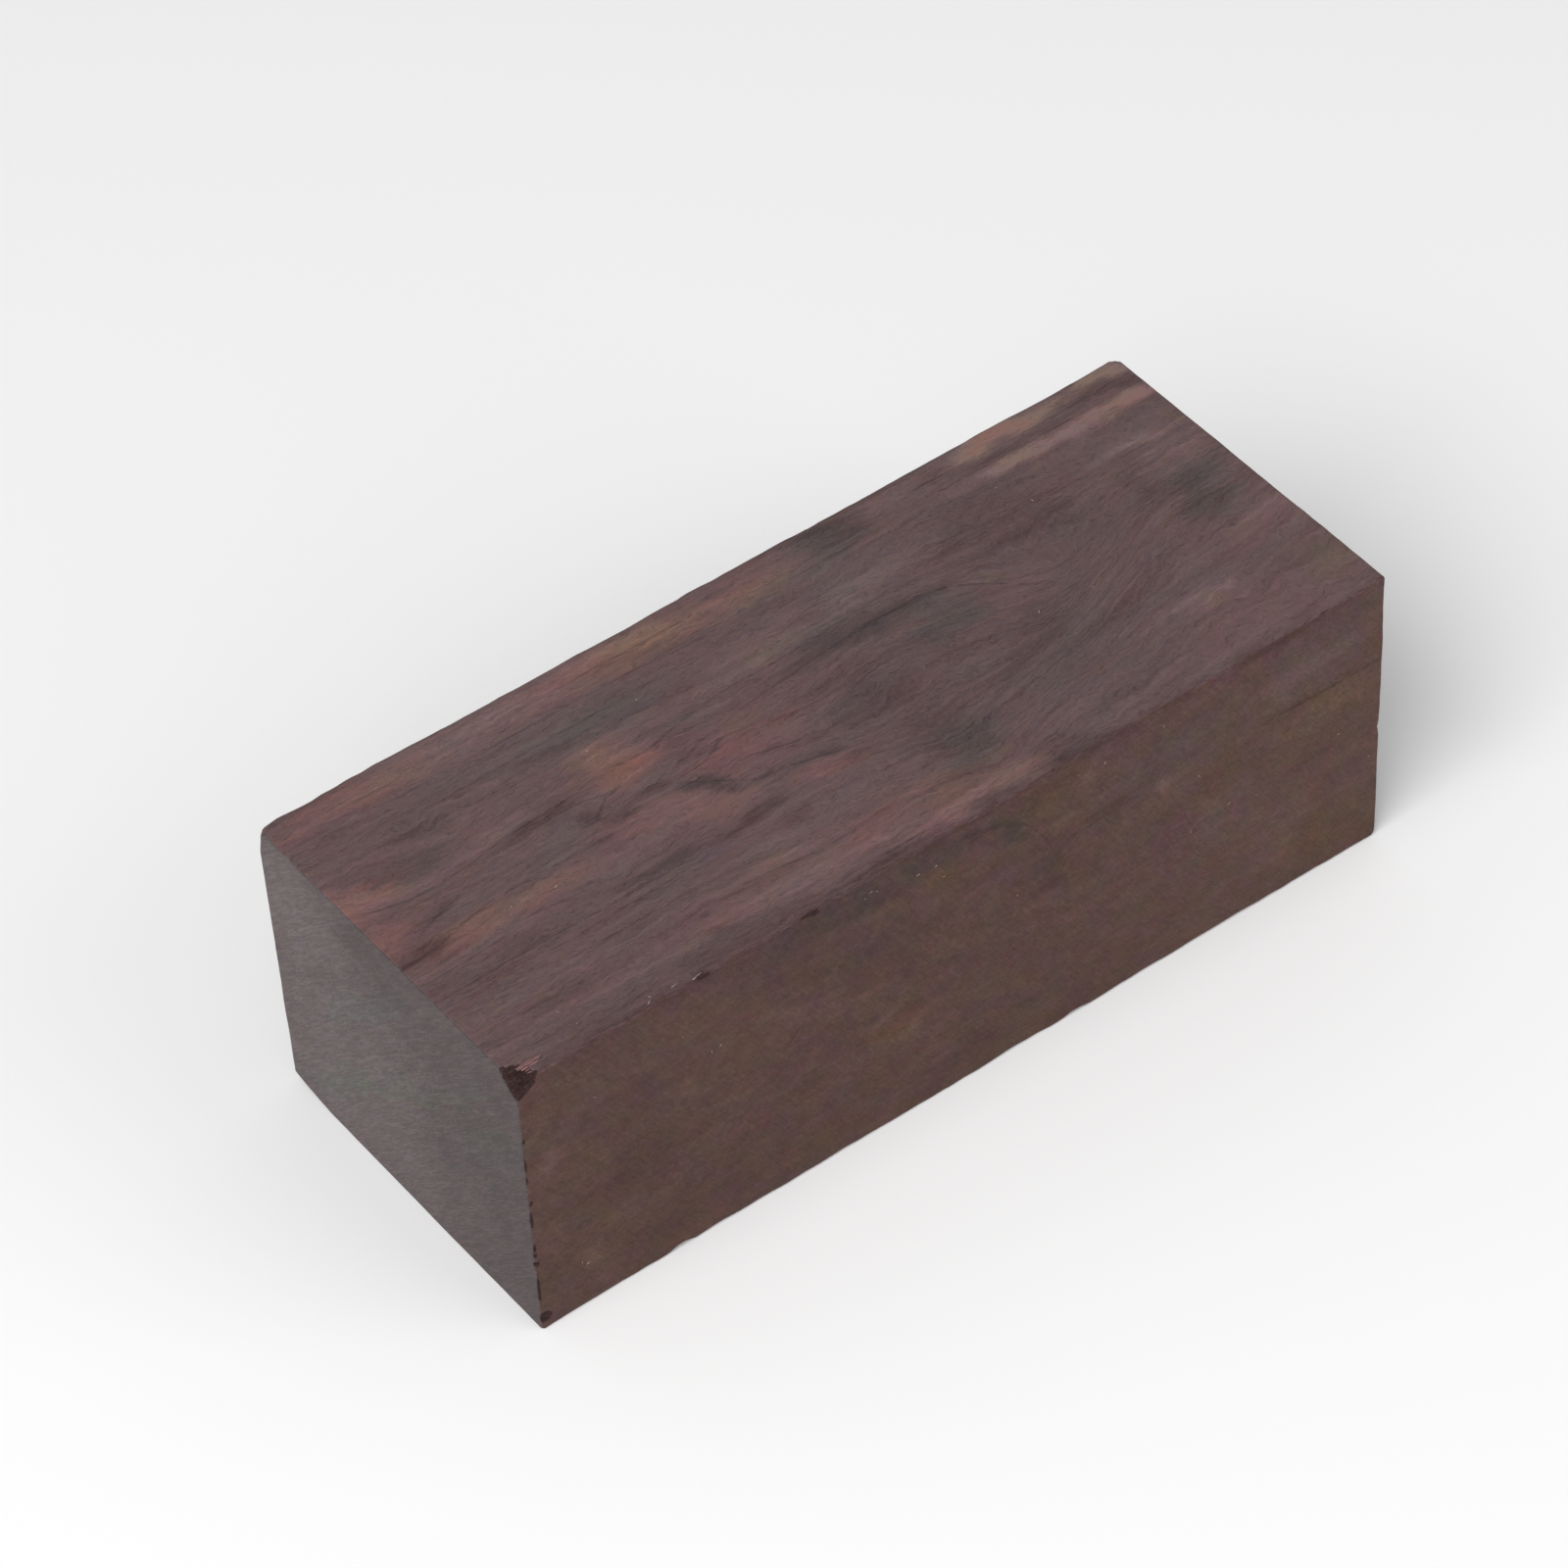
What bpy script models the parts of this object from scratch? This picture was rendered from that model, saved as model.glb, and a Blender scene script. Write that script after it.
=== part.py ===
"""Ebony wood blank: one sawn block, 120 mm long, 50 mm wide and 40 mm high.

The block lies on one of its wide faces with its length, and the grain, along X. The near end is at -X,
the far end at +X, the front is the long side at -Y and the back the one at +Y. The origin is under the
middle of the block, at the height of the surface that it lies on.
"""
import math

import bmesh
import bpy
from mathutils import Vector, noise

MM = 0.001

# Overall size
LENGTH = 120.0 * MM
WIDTH = 49.8 * MM
HEIGHT = 40.0 * MM

# How far the saw cuts are out of square
NEAR_LEAN = 0.4 * MM  # the near end leans in at the top
FAR_LEAN = 1.3 * MM  # the far end leans in at the foot
FAR_SKEW = 0.5 * MM  # the front is shorter than the back at the far end
FOOT_NARROWING = 1.0 * MM  # the foot is narrower than the top
FAR_NARROWING = 0.8 * MM  # the top is narrower at the far end
NEAR_DROP = 0.4 * MM  # the top is lower at the near end

# Worn edges
EDGE_BEVEL = 0.5 * MM
EDGE_BEVEL_STEPS = 2
EDGE_WANDER = 0.22 * MM  # how far in an edge strays from its straight line
WANDER_WAVE = 7.0 * MM  # the length of that wandering along the edge
WANDER_SHIFT = Vector((17.0, 5.0, 9.0))  # keeps the wandering on one face apart from that on the next
SHARP_EDGE = math.radians(60)

# How many times the faces are divided along the length, the width and the height
LENGTH_CUTS = 39
WIDTH_CUTS = 9
HEIGHT_CUTS = 9

# The foot's near back corner was planed away: a flat cut through these three points, in mm
FOOT_WANE = ((-60.0, 15.0, 0.0), (-60.0, 24.4, 1.2), (-44.0, 24.4, 0.0))
WANE_CUTTER_SIZE = 40.0 * MM

# Chips broken out of corners and edges: the centre and the radii of each, in mm
CORNER_CHIPS = (
    ("near_top_front", (-60.4, -25.8, 40.5), (3.5, 3.5, 3.4)),
    ("near_foot_front", (-60.5, -25.2, -0.5), (2.2, 2.1, 2.3)),
    ("near_top_back", (-60.9, 25.6, 40.5), (1.8, 1.7, 1.6)),
    ("far_top_back", (60.8, 25.2, 40.8), (2.5, 2.3, 2.0)),
    ("far_foot_back", (59.4, 24.9, -0.5), (1.9, 1.7, 1.6)),
    ("far_foot_front", (59.0, -25.0, -0.6), (1.8, 1.8, 1.7)),
)
EDGE_CHIPS = (
    ("foot_front_nick", (-41.0, -24.9, -0.3), (2.2, 1.1, 1.1)),
    ("foot_front_nick_far", (14.0, -24.9, -0.4), (2.6, 1.0, 1.0)),
    ("foot_back_nick", (-12.0, 24.8, -0.4), (3.0, 1.0, 1.1)),
    ("foot_back_nick_far", (37.0, 24.7, -0.3), (2.0, 1.0, 1.0)),
    ("top_back_hollow", (24.0, 25.6, 40.7), (8.0, 1.7, 1.5)),
    ("top_back_nick", (15.5, 25.1, 40.4), (1.6, 0.9, 0.9)),
    ("top_back_nick_near", (-33.0, 25.3, 40.3), (2.4, 0.9, 0.9)),
    ("top_front_split", (-21.2, -25.0, 40.1), (1.6, 1.0, 0.8)),
    ("top_front_pit", (34.8, -24.9, 40.3), (0.9, 1.0, 0.9)),
    ("top_front_step", (52.0, -24.7, 40.4), (3.0, 0.8, 0.8)),
    ("near_upright_a", (-60.0, -25.1, 31.0), (0.9, 1.0, 1.3)),
    ("near_upright_b", (-60.0, -25.0, 27.2), (0.8, 0.9, 0.9)),
    ("near_upright_c", (-60.1, -24.9, 19.2), (0.9, 0.9, 1.2)),
    ("near_upright_d", (-60.2, -24.8, 12.0), (0.9, 0.9, 1.5)),
    ("near_top_chip_a", (-60.0, -8.2, 40.1), (0.9, 1.2, 0.8)),
    ("near_top_chip_b", (-60.0, 2.4, 40.1), (0.8, 1.0, 0.7)),
    ("far_upright_a", (60.1, 24.9, 28.0), (0.9, 0.9, 1.3)),
    ("far_upright_b", (59.6, -24.8, 17.0), (0.9, 0.9, 1.4)),
    ("far_top_chip", (60.1, 6.0, 40.3), (0.9, 1.5, 0.8)),
    ("far_foot_chip", (59.0, -9.0, -0.3), (0.9, 1.6, 0.9)),
)
CHIP_ROUGHNESS = 0.12  # how uneven a broken face is, as a share of the chip's radius
CHIP_LUMPS = 2.0  # how many lumps there are across a chip
CHIP_SUBDIVISIONS = 2

# How close to a face or an axis counts as being on it
ON_FACE = 0.999
ALONG_AXIS = 0.9

EBONY_COLOUR = (0.095, 0.064, 0.060, 1.0)
EBONY_ROUGHNESS = 0.62


def clear_scene():
    """Removes the objects that the scene starts with."""
    for old in list(bpy.data.objects):
        bpy.data.objects.remove(old, do_unlink=True)


def new_collection(name):
    """A collection of the scene for the parts or for the cutters."""
    collection = bpy.data.collections.new(name)
    bpy.context.scene.collection.children.link(collection)
    return collection


def new_object(name, bm, collection):
    """Turns a bmesh into an object of the collection."""
    mesh = bpy.data.meshes.new(name)
    bm.to_mesh(mesh)
    bm.free()
    obj = bpy.data.objects.new(name, mesh)
    collection.objects.link(obj)
    return obj


def ebony_material():
    """Dark purplish brown heartwood, sawn and not polished."""
    material = bpy.data.materials.new("ebony_wood")
    material.use_nodes = True
    shader = material.node_tree.nodes["Principled BSDF"]
    shader.inputs["Base Color"].default_value = EBONY_COLOUR
    shader.inputs["Roughness"].default_value = EBONY_ROUGHNESS
    shader.inputs["Metallic"].default_value = 0.0
    return material


def sawn_point(along, across, up):
    """A place on the sawn block, from shares 0 to 1 of its length, width and height."""
    near_x = NEAR_LEAN * up
    far_x = LENGTH - FAR_LEAN * (1 - up) - FAR_SKEW * (1 - across)
    half_width = (WIDTH - FOOT_NARROWING * (1 - up) - FAR_NARROWING * along * up) / 2
    height = HEIGHT - NEAR_DROP * (1 - along)
    return Vector((
        near_x + (far_x - near_x) * along - LENGTH / 2,
        half_width * (2 * across - 1),
        height * up,
    ))


def wander_in(point, share):
    """How an edge strays: inwards on each face that meets there, but never off the surface below."""
    place = point / WANDER_WAVE
    shift = Vector((0.0, 0.0, 0.0))
    for axis in range(3):
        outwards = 2 * share[axis] - 1
        on_face = abs(outwards) > ON_FACE
        on_foot = axis == 2 and outwards < 0
        if on_face and not on_foot:
            amount = 0.5 + noise.noise(place + WANDER_SHIFT * axis)
            shift[axis] = -outwards * EDGE_WANDER * min(max(amount, 0.0), 1.0)
    return shift


def divide_along(bm, axis, cuts):
    """Divides every edge that runs along one axis."""
    edges = []
    for edge in bm.edges:
        direction = edge.verts[1].co - edge.verts[0].co
        if abs(direction[axis]) > ALONG_AXIS * direction.length:
            edges.append(edge)
    bmesh.ops.subdivide_edges(bm, edges=edges, cuts=cuts, use_grid_fill=True)


def sawn_block(collection):
    """The whole block before its chips: divided, sawn out of square, with edges that wander."""
    bm = bmesh.new()
    bmesh.ops.create_cube(bm, size=1.0)
    for axis, cuts in enumerate((LENGTH_CUTS, WIDTH_CUTS, HEIGHT_CUTS)):
        divide_along(bm, axis, cuts)
    foot_faces = [face for face in bm.faces if face.normal.z < -ALONG_AXIS]
    bmesh.ops.dissolve_faces(bm, faces=foot_faces)
    for vert in bm.verts:
        share = vert.co + Vector((0.5, 0.5, 0.5))
        point = sawn_point(*share)
        faces_met = sum(abs(2 * part - 1) > ON_FACE for part in share)
        if faces_met >= 2:
            point += wander_in(point, share)
        vert.co = point
    block = new_object("wood_blank", bm, collection)
    block.data.materials.append(ebony_material())
    bevel = block.modifiers.new("worn_edges", "BEVEL")
    bevel.width = EDGE_BEVEL
    bevel.segments = EDGE_BEVEL_STEPS
    bevel.limit_method = "ANGLE"
    bevel.angle_limit = SHARP_EDGE
    return block


def chip_cutter(name, centre, radii, collection):
    """An uneven rounded lump: what broke out of the block."""
    bm = bmesh.new()
    bmesh.ops.create_icosphere(bm, subdivisions=CHIP_SUBDIVISIONS, radius=1.0)
    for vert in bm.verts:
        bump = 1.0 + CHIP_ROUGHNESS * noise.noise(vert.co * CHIP_LUMPS + Vector(centre))
        vert.co = Vector(c + r * part * bump for c, r, part in zip(centre, radii, vert.co)) * MM
    return new_object("chip_" + name, bm, collection)


def wane_cutter(collection):
    """A block whose top is the flat cut at the foot's near back corner."""
    start, high, far = (Vector(point) * MM for point in FOOT_WANE)
    normal = (high - start).cross(far - start).normalized()
    if normal.z < 0:
        normal.negate()
    bm = bmesh.new()
    bmesh.ops.create_cube(bm, size=WANE_CUTTER_SIZE)
    cutter = new_object("foot_wane", bm, collection)
    cutter.rotation_euler = normal.to_track_quat("Z", "X").to_euler()
    cutter.location = (start + high + far) / 3 - normal * WANE_CUTTER_SIZE / 2
    return cutter


def cut_away(block, cutters):
    """Takes every cutter out of the block."""
    for cutter in cutters:
        cutter.hide_render = True
        cutter.display_type = "WIRE"
        cut = block.modifiers.new(cutter.name, "BOOLEAN")
        cut.operation = "DIFFERENCE"
        cut.solver = "EXACT"
        cut.object = cutter


def build():
    """Makes the block and the chips that are missing from it."""
    clear_scene()
    parts = new_collection("ebony_wood_blank")
    cutter_parts = new_collection("ebony_wood_blank_cutters")
    block = sawn_block(parts)
    cutters = [wane_cutter(cutter_parts)]
    for name, centre, radii in CORNER_CHIPS + EDGE_CHIPS:
        cutters.append(chip_cutter(name, centre, radii, cutter_parts))
    cut_away(block, cutters)


build()
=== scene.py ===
"""The looks of the ebony wood blank: its figure, its saw marks, its chipped edges, with painted shade in the
chips, and the studio round it.

Lengths are in millimetres until they reach Blender, which works in metres. The near end of the block is
at -X, the front is the long side at -Y, and the grain runs along X.
"""
import itertools
import math

import bpy
import numpy as np
from mathutils import Matrix, Vector
from mathutils.bvhtree import BVHTree


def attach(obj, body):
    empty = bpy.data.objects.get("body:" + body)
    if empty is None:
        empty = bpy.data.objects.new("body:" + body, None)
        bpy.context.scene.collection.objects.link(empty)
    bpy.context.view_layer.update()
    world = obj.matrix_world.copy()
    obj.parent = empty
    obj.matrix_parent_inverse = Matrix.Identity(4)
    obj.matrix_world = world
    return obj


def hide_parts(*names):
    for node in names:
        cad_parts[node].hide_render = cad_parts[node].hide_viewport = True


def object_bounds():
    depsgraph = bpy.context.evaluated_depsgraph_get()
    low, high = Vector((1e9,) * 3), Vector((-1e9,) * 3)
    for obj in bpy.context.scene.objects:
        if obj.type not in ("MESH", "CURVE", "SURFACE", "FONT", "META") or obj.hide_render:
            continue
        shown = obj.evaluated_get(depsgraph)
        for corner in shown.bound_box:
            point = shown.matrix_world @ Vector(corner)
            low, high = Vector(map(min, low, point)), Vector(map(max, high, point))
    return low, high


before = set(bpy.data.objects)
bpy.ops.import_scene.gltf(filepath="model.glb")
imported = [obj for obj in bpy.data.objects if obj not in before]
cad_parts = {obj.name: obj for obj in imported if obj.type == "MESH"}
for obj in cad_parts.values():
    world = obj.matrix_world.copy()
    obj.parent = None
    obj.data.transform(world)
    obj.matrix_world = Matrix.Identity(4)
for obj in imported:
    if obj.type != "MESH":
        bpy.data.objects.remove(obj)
CAD_LOW, CAD_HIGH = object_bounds()

MM = 0.001
LENGTH, WIDTH, HEIGHT = ((high - low) / MM for low, high in zip(CAD_LOW, CAD_HIGH))
SIZE = np.array([LENGTH, WIDTH, HEIGHT])

# How far the saw cuts are out of square
NEAR_LEAN = 0.4
FAR_LEAN = 1.3
FAR_SKEW = 0.5
FOOT_NARROWING = 1.0
FAR_NARROWING = 0.8
NEAR_DROP = 0.4

# Distance between the lines of the mesh, close to the edges and in the middle of the faces
FINE_STEP = 0.15
LENGTH_STEP = 0.66
CROSS_STEP = 0.50
FINE_MARGIN = 3.0
STEP_SAMPLES = 4001  # the places along a side at which that distance is worked out

# The rounding of the edges: crisp round the near end, firm round the foot and the far end, softer elsewhere
CRISP_EDGE = 0.16
SOFT_EDGE = 0.7
CRISP_REACH = 2.0
SOFTNESS = (0.75, 0.45)  # the usual share of the soft rounding, and how far that share varies
SOFTNESS_WAVE = 6.0
FIRM_EDGE = 0.35  # the share of the soft rounding that is left round the foot and the far end
WORN_CORNER = 1.3  # the rounding of the near top back corner
WORN_CORNER_REACH = 5.0

# How far in the edges stray
WANDER = 0.18
WANDER_REACH = 1.1
WANDER_WAVES = ((6.0, 0.6), (1.7, 0.4))  # length and strength of the slow waves and of the short nibbles
END_CALM = 0.3  # the share of the unevenness that is left round the two ends
END_CALM_REACH = 8.0

# Shallow unevenness of the faces across X, Y and Z: the depth of the broad and of the narrow hollows
RELIEF = ((0.03, 0.02), (0.08, 0.05), (0.08, 0.05))
BROAD_WAVES = ((9, 9, 9), (25, 9, 9), (30, 8, 9))
NARROW_WAVES = ((2, 2, 2), (2.2, 2.2, 2.2), (14, 1.6, 5))

# The foot's near back corner: how high it is planed away, where that starts and how far along it goes
WANE_HEIGHT = 1.35
WANE_START = 13.0
WANE_WIDTH = 11.4
WANE_LENGTH = 16.0

# Chips: centre and radii of each
CHIPS = (
    ((-60.4, -25.9, 40.6), (3.9, 4.4, 3.9)), ((-60.2, -25.0, -0.3), (0.9, 1.3, 1.0)),
    ((-59.4, -24.55, 1.9), (0.9, 0.6, 0.9)), ((-60.9, 25.6, 40.5), (1.8, 1.7, 1.6)),
    ((60.8, 25.2, 40.8), (2.5, 2.3, 2.0)), ((59.4, 24.9, -0.5), (1.9, 1.9, 1.6)),
    ((59.0, -25.0, -0.6), (1.8, 2.0, 1.7)), ((-41.0, -24.6, -0.1), (2.0, 0.9, 0.9)),
    ((14.0, -24.6, -0.2), (2.6, 0.8, 0.8)), ((-12.0, 24.6, -0.2), (3.0, 0.8, 0.9)),
    ((37.0, 24.5, -0.1), (2.0, 0.8, 0.8)), ((24.0, 25.6, 40.7), (8.0, 1.9, 1.7)),
    ((15.5, 24.8, 40.0), (1.6, 0.8, 0.8)), ((-33.0, 25.0, 39.9), (2.4, 0.8, 0.8)),
    ((-20.8, -24.4, 39.8), (1.4, 0.24, 0.85)), ((-20.3, -24.8, 39.0), (0.8, 0.6, 0.24)),
    ((-35.2, -24.7, 39.3), (1.1, 0.55, 0.26)), ((34.8, -24.5, 39.9), (0.55, 0.45, 0.45)),
    ((50.5, -24.4, 39.95), (3.0, 0.4, 0.4)), ((-59.45, -24.75, 30.6), (0.25, 0.35, 0.25)),
    ((-59.62, -24.66, 26.6), (0.24, 0.26, 1.3)), ((-59.65, -24.64, 24.2), (0.22, 0.24, 0.9)),
    ((-59.4, -24.7, 20.6), (0.22, 0.32, 0.2)), ((-59.68, -24.58, 18.0), (0.22, 0.25, 1.4)),
    ((-59.65, -24.45, 13.4), (0.28, 0.42, 0.3)), ((-59.62, -24.42, 12.0), (0.26, 0.4, 0.26)),
    ((-59.6, -24.4, 10.6), (0.36, 0.45, 0.28)), ((-59.75, -24.42, 6.6), (0.2, 0.24, 2.0)),
    ((-59.6, -8.2, 39.7), (0.3, 0.7, 0.26)), ((-59.6, 2.4, 39.72), (0.24, 0.5, 0.24)),
    ((59.7, 24.5, 28.0), (0.5, 0.5, 1.1)), ((58.8, -24.4, 17.0), (0.5, 0.5, 1.2)),
    ((60.0, 6.0, 40.0), (0.3, 1.0, 0.3)), ((58.4, -9.0, 0.0), (0.5, 1.4, 0.6)),
)
CHIP_ROUGHNESS = 0.30  # how uneven a broken face is, as a share of the chip's depth
CHIP_GRAIN = (1.3, 0.35, 0.35)  # the size of the torn lumps in a chip
CHIP_CRUMB = 0.3  # the size of the crumbs on them
CHIP_REACH = 1.6  # a chip's centre this near a face, or outside it, breaks that face
BROKEN_AND_SHADED_DEPTHS = (0.01, 0.16)  # the depths at which a chip starts to show torn wood and its painted shade, and does so in full

# Lines that the grain follows, from the back edge of a wide face to the front: level and points of each
TOP_GRAIN = (
    (26.0, ((-60, 26), (60, 26))),
    (21.0, ((-60, 22), (-45, 21.2), (0, 21), (20, 20.8), (32, 21.3), (60, 21.3))),
    (18.0, ((-60, 19.5), (-45, 18.5), (-30, 18.3), (0, 18), (15, 18), (30, 19), (60, 19.4))),
    (14.0, ((-60, 15), (-45, 15.2), (-30, 14.3), (0, 13.8), (15, 13.5), (30, 12.3), (45, 11.4),
            (60, 11.3))),
    (10.0, ((-60, 11.5), (-45, 9.5), (-30, 10.5), (0, 10), (18, 10), (30, 9), (45, 9), (60, 9.4))),
    (6.0, ((-60, 7), (-55, 5.3), (-45, 5), (-30, 6.3), (0, 6.4), (8, 7), (18, 6.6), (24, 5), (29, 2.4),
           (33, 1.2), (38, 2.2), (45, 4), (60, 5))),
    (2.0, ((-60, 2), (-30, 1.5), (-15, 2.5), (0, 2.5), (12, 3), (20, 2), (28, -0.2), (33, -0.9), (38, 0.6),
           (45, 2.6), (60, 3.8))),
    (-2.0, ((-60, -3.3), (-50, -1.8), (-45, -1), (-15, -1), (0, -1.5), (12, -1), (20, -2.2), (28, -3.5),
            (33, -3), (38, -1.2), (45, 1.3), (60, 2.8))),
    (-6.0, ((-60, -6.7), (-50, -6.5), (-45, -5.6), (-30, -7), (-20, -6), (-8, -5.3), (0, -7.5), (10, -7.5),
            (20, -7.3), (28, -6.6), (33, -5), (38, -2.8), (45, 0.5), (60, 1.6))),
    (-10.0, ((-60, -9.8), (-15, -10), (0, -10.2), (6, -11.8), (12, -11), (20, -9.9), (28, -8.2), (33, -7),
             (38, -4.8), (45, -2.2), (60, -1))),
    (-14.0, ((-60, -13.3), (-30, -13.6), (-15, -14.8), (0, -14.8), (8, -16), (15, -14.8), (22, -13.5),
             (30, -12), (38, -9.5), (45, -7.5), (60, -5.5))),
    (-17.0, ((-60, -17), (-38, -16.3), (-30, -15.6), (-20, -17), (-12, -17.6), (-3, -16.6), (3, -17.4),
             (9, -19), (15, -17.2), (20, -16), (30, -14.8), (38, -12.9), (45, -11.6), (60, -9.6))),
    (-20.0, ((-60, -20), (-15, -20.2), (0, -20.6), (9, -21), (18, -19.6), (30, -18), (45, -15.8),
             (60, -14.2))),
    (-23.0, ((-60, -23), (0, -22.8), (15, -22.9), (30, -22.3), (45, -21.3), (60, -20.6))),
    (-26.0, ((-60, -26), (60, -26))),
)
FOOT_GRAIN = (
    (26.0, ((-60, 26), (60, 26))),
    (18.0, ((-60, 16), (-30, 18.5), (0, 19), (30, 17.5), (60, 19))),
    (9.0, ((-60, 5), (-40, 9), (-15, 11.5), (10, 11), (35, 9.5), (60, 11))),
    (0.0, ((-60, -6), (-42, -3), (-25, 2), (-5, 4.5), (20, 2.5), (40, 0.5), (60, 2))),
    (-9.0, ((-60, -12), (-40, -11), (-20, -9), (0, -5.5), (20, -6.5), (40, -9.5), (60, -8))),
    (-17.0, ((-60, -17), (-30, -18), (0, -15), (25, -16.5), (60, -16))),
    (-26.0, ((-60, -26), (60, -26))),
)
GRAIN_GAP = 0.2  # the least distance between two of those lines
GRAIN_WIGGLES = ((0.35, (9, 4, 4)), (0.12, (3, 1.3, 2)))  # how far the grain sways, and the size of each sway

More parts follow.
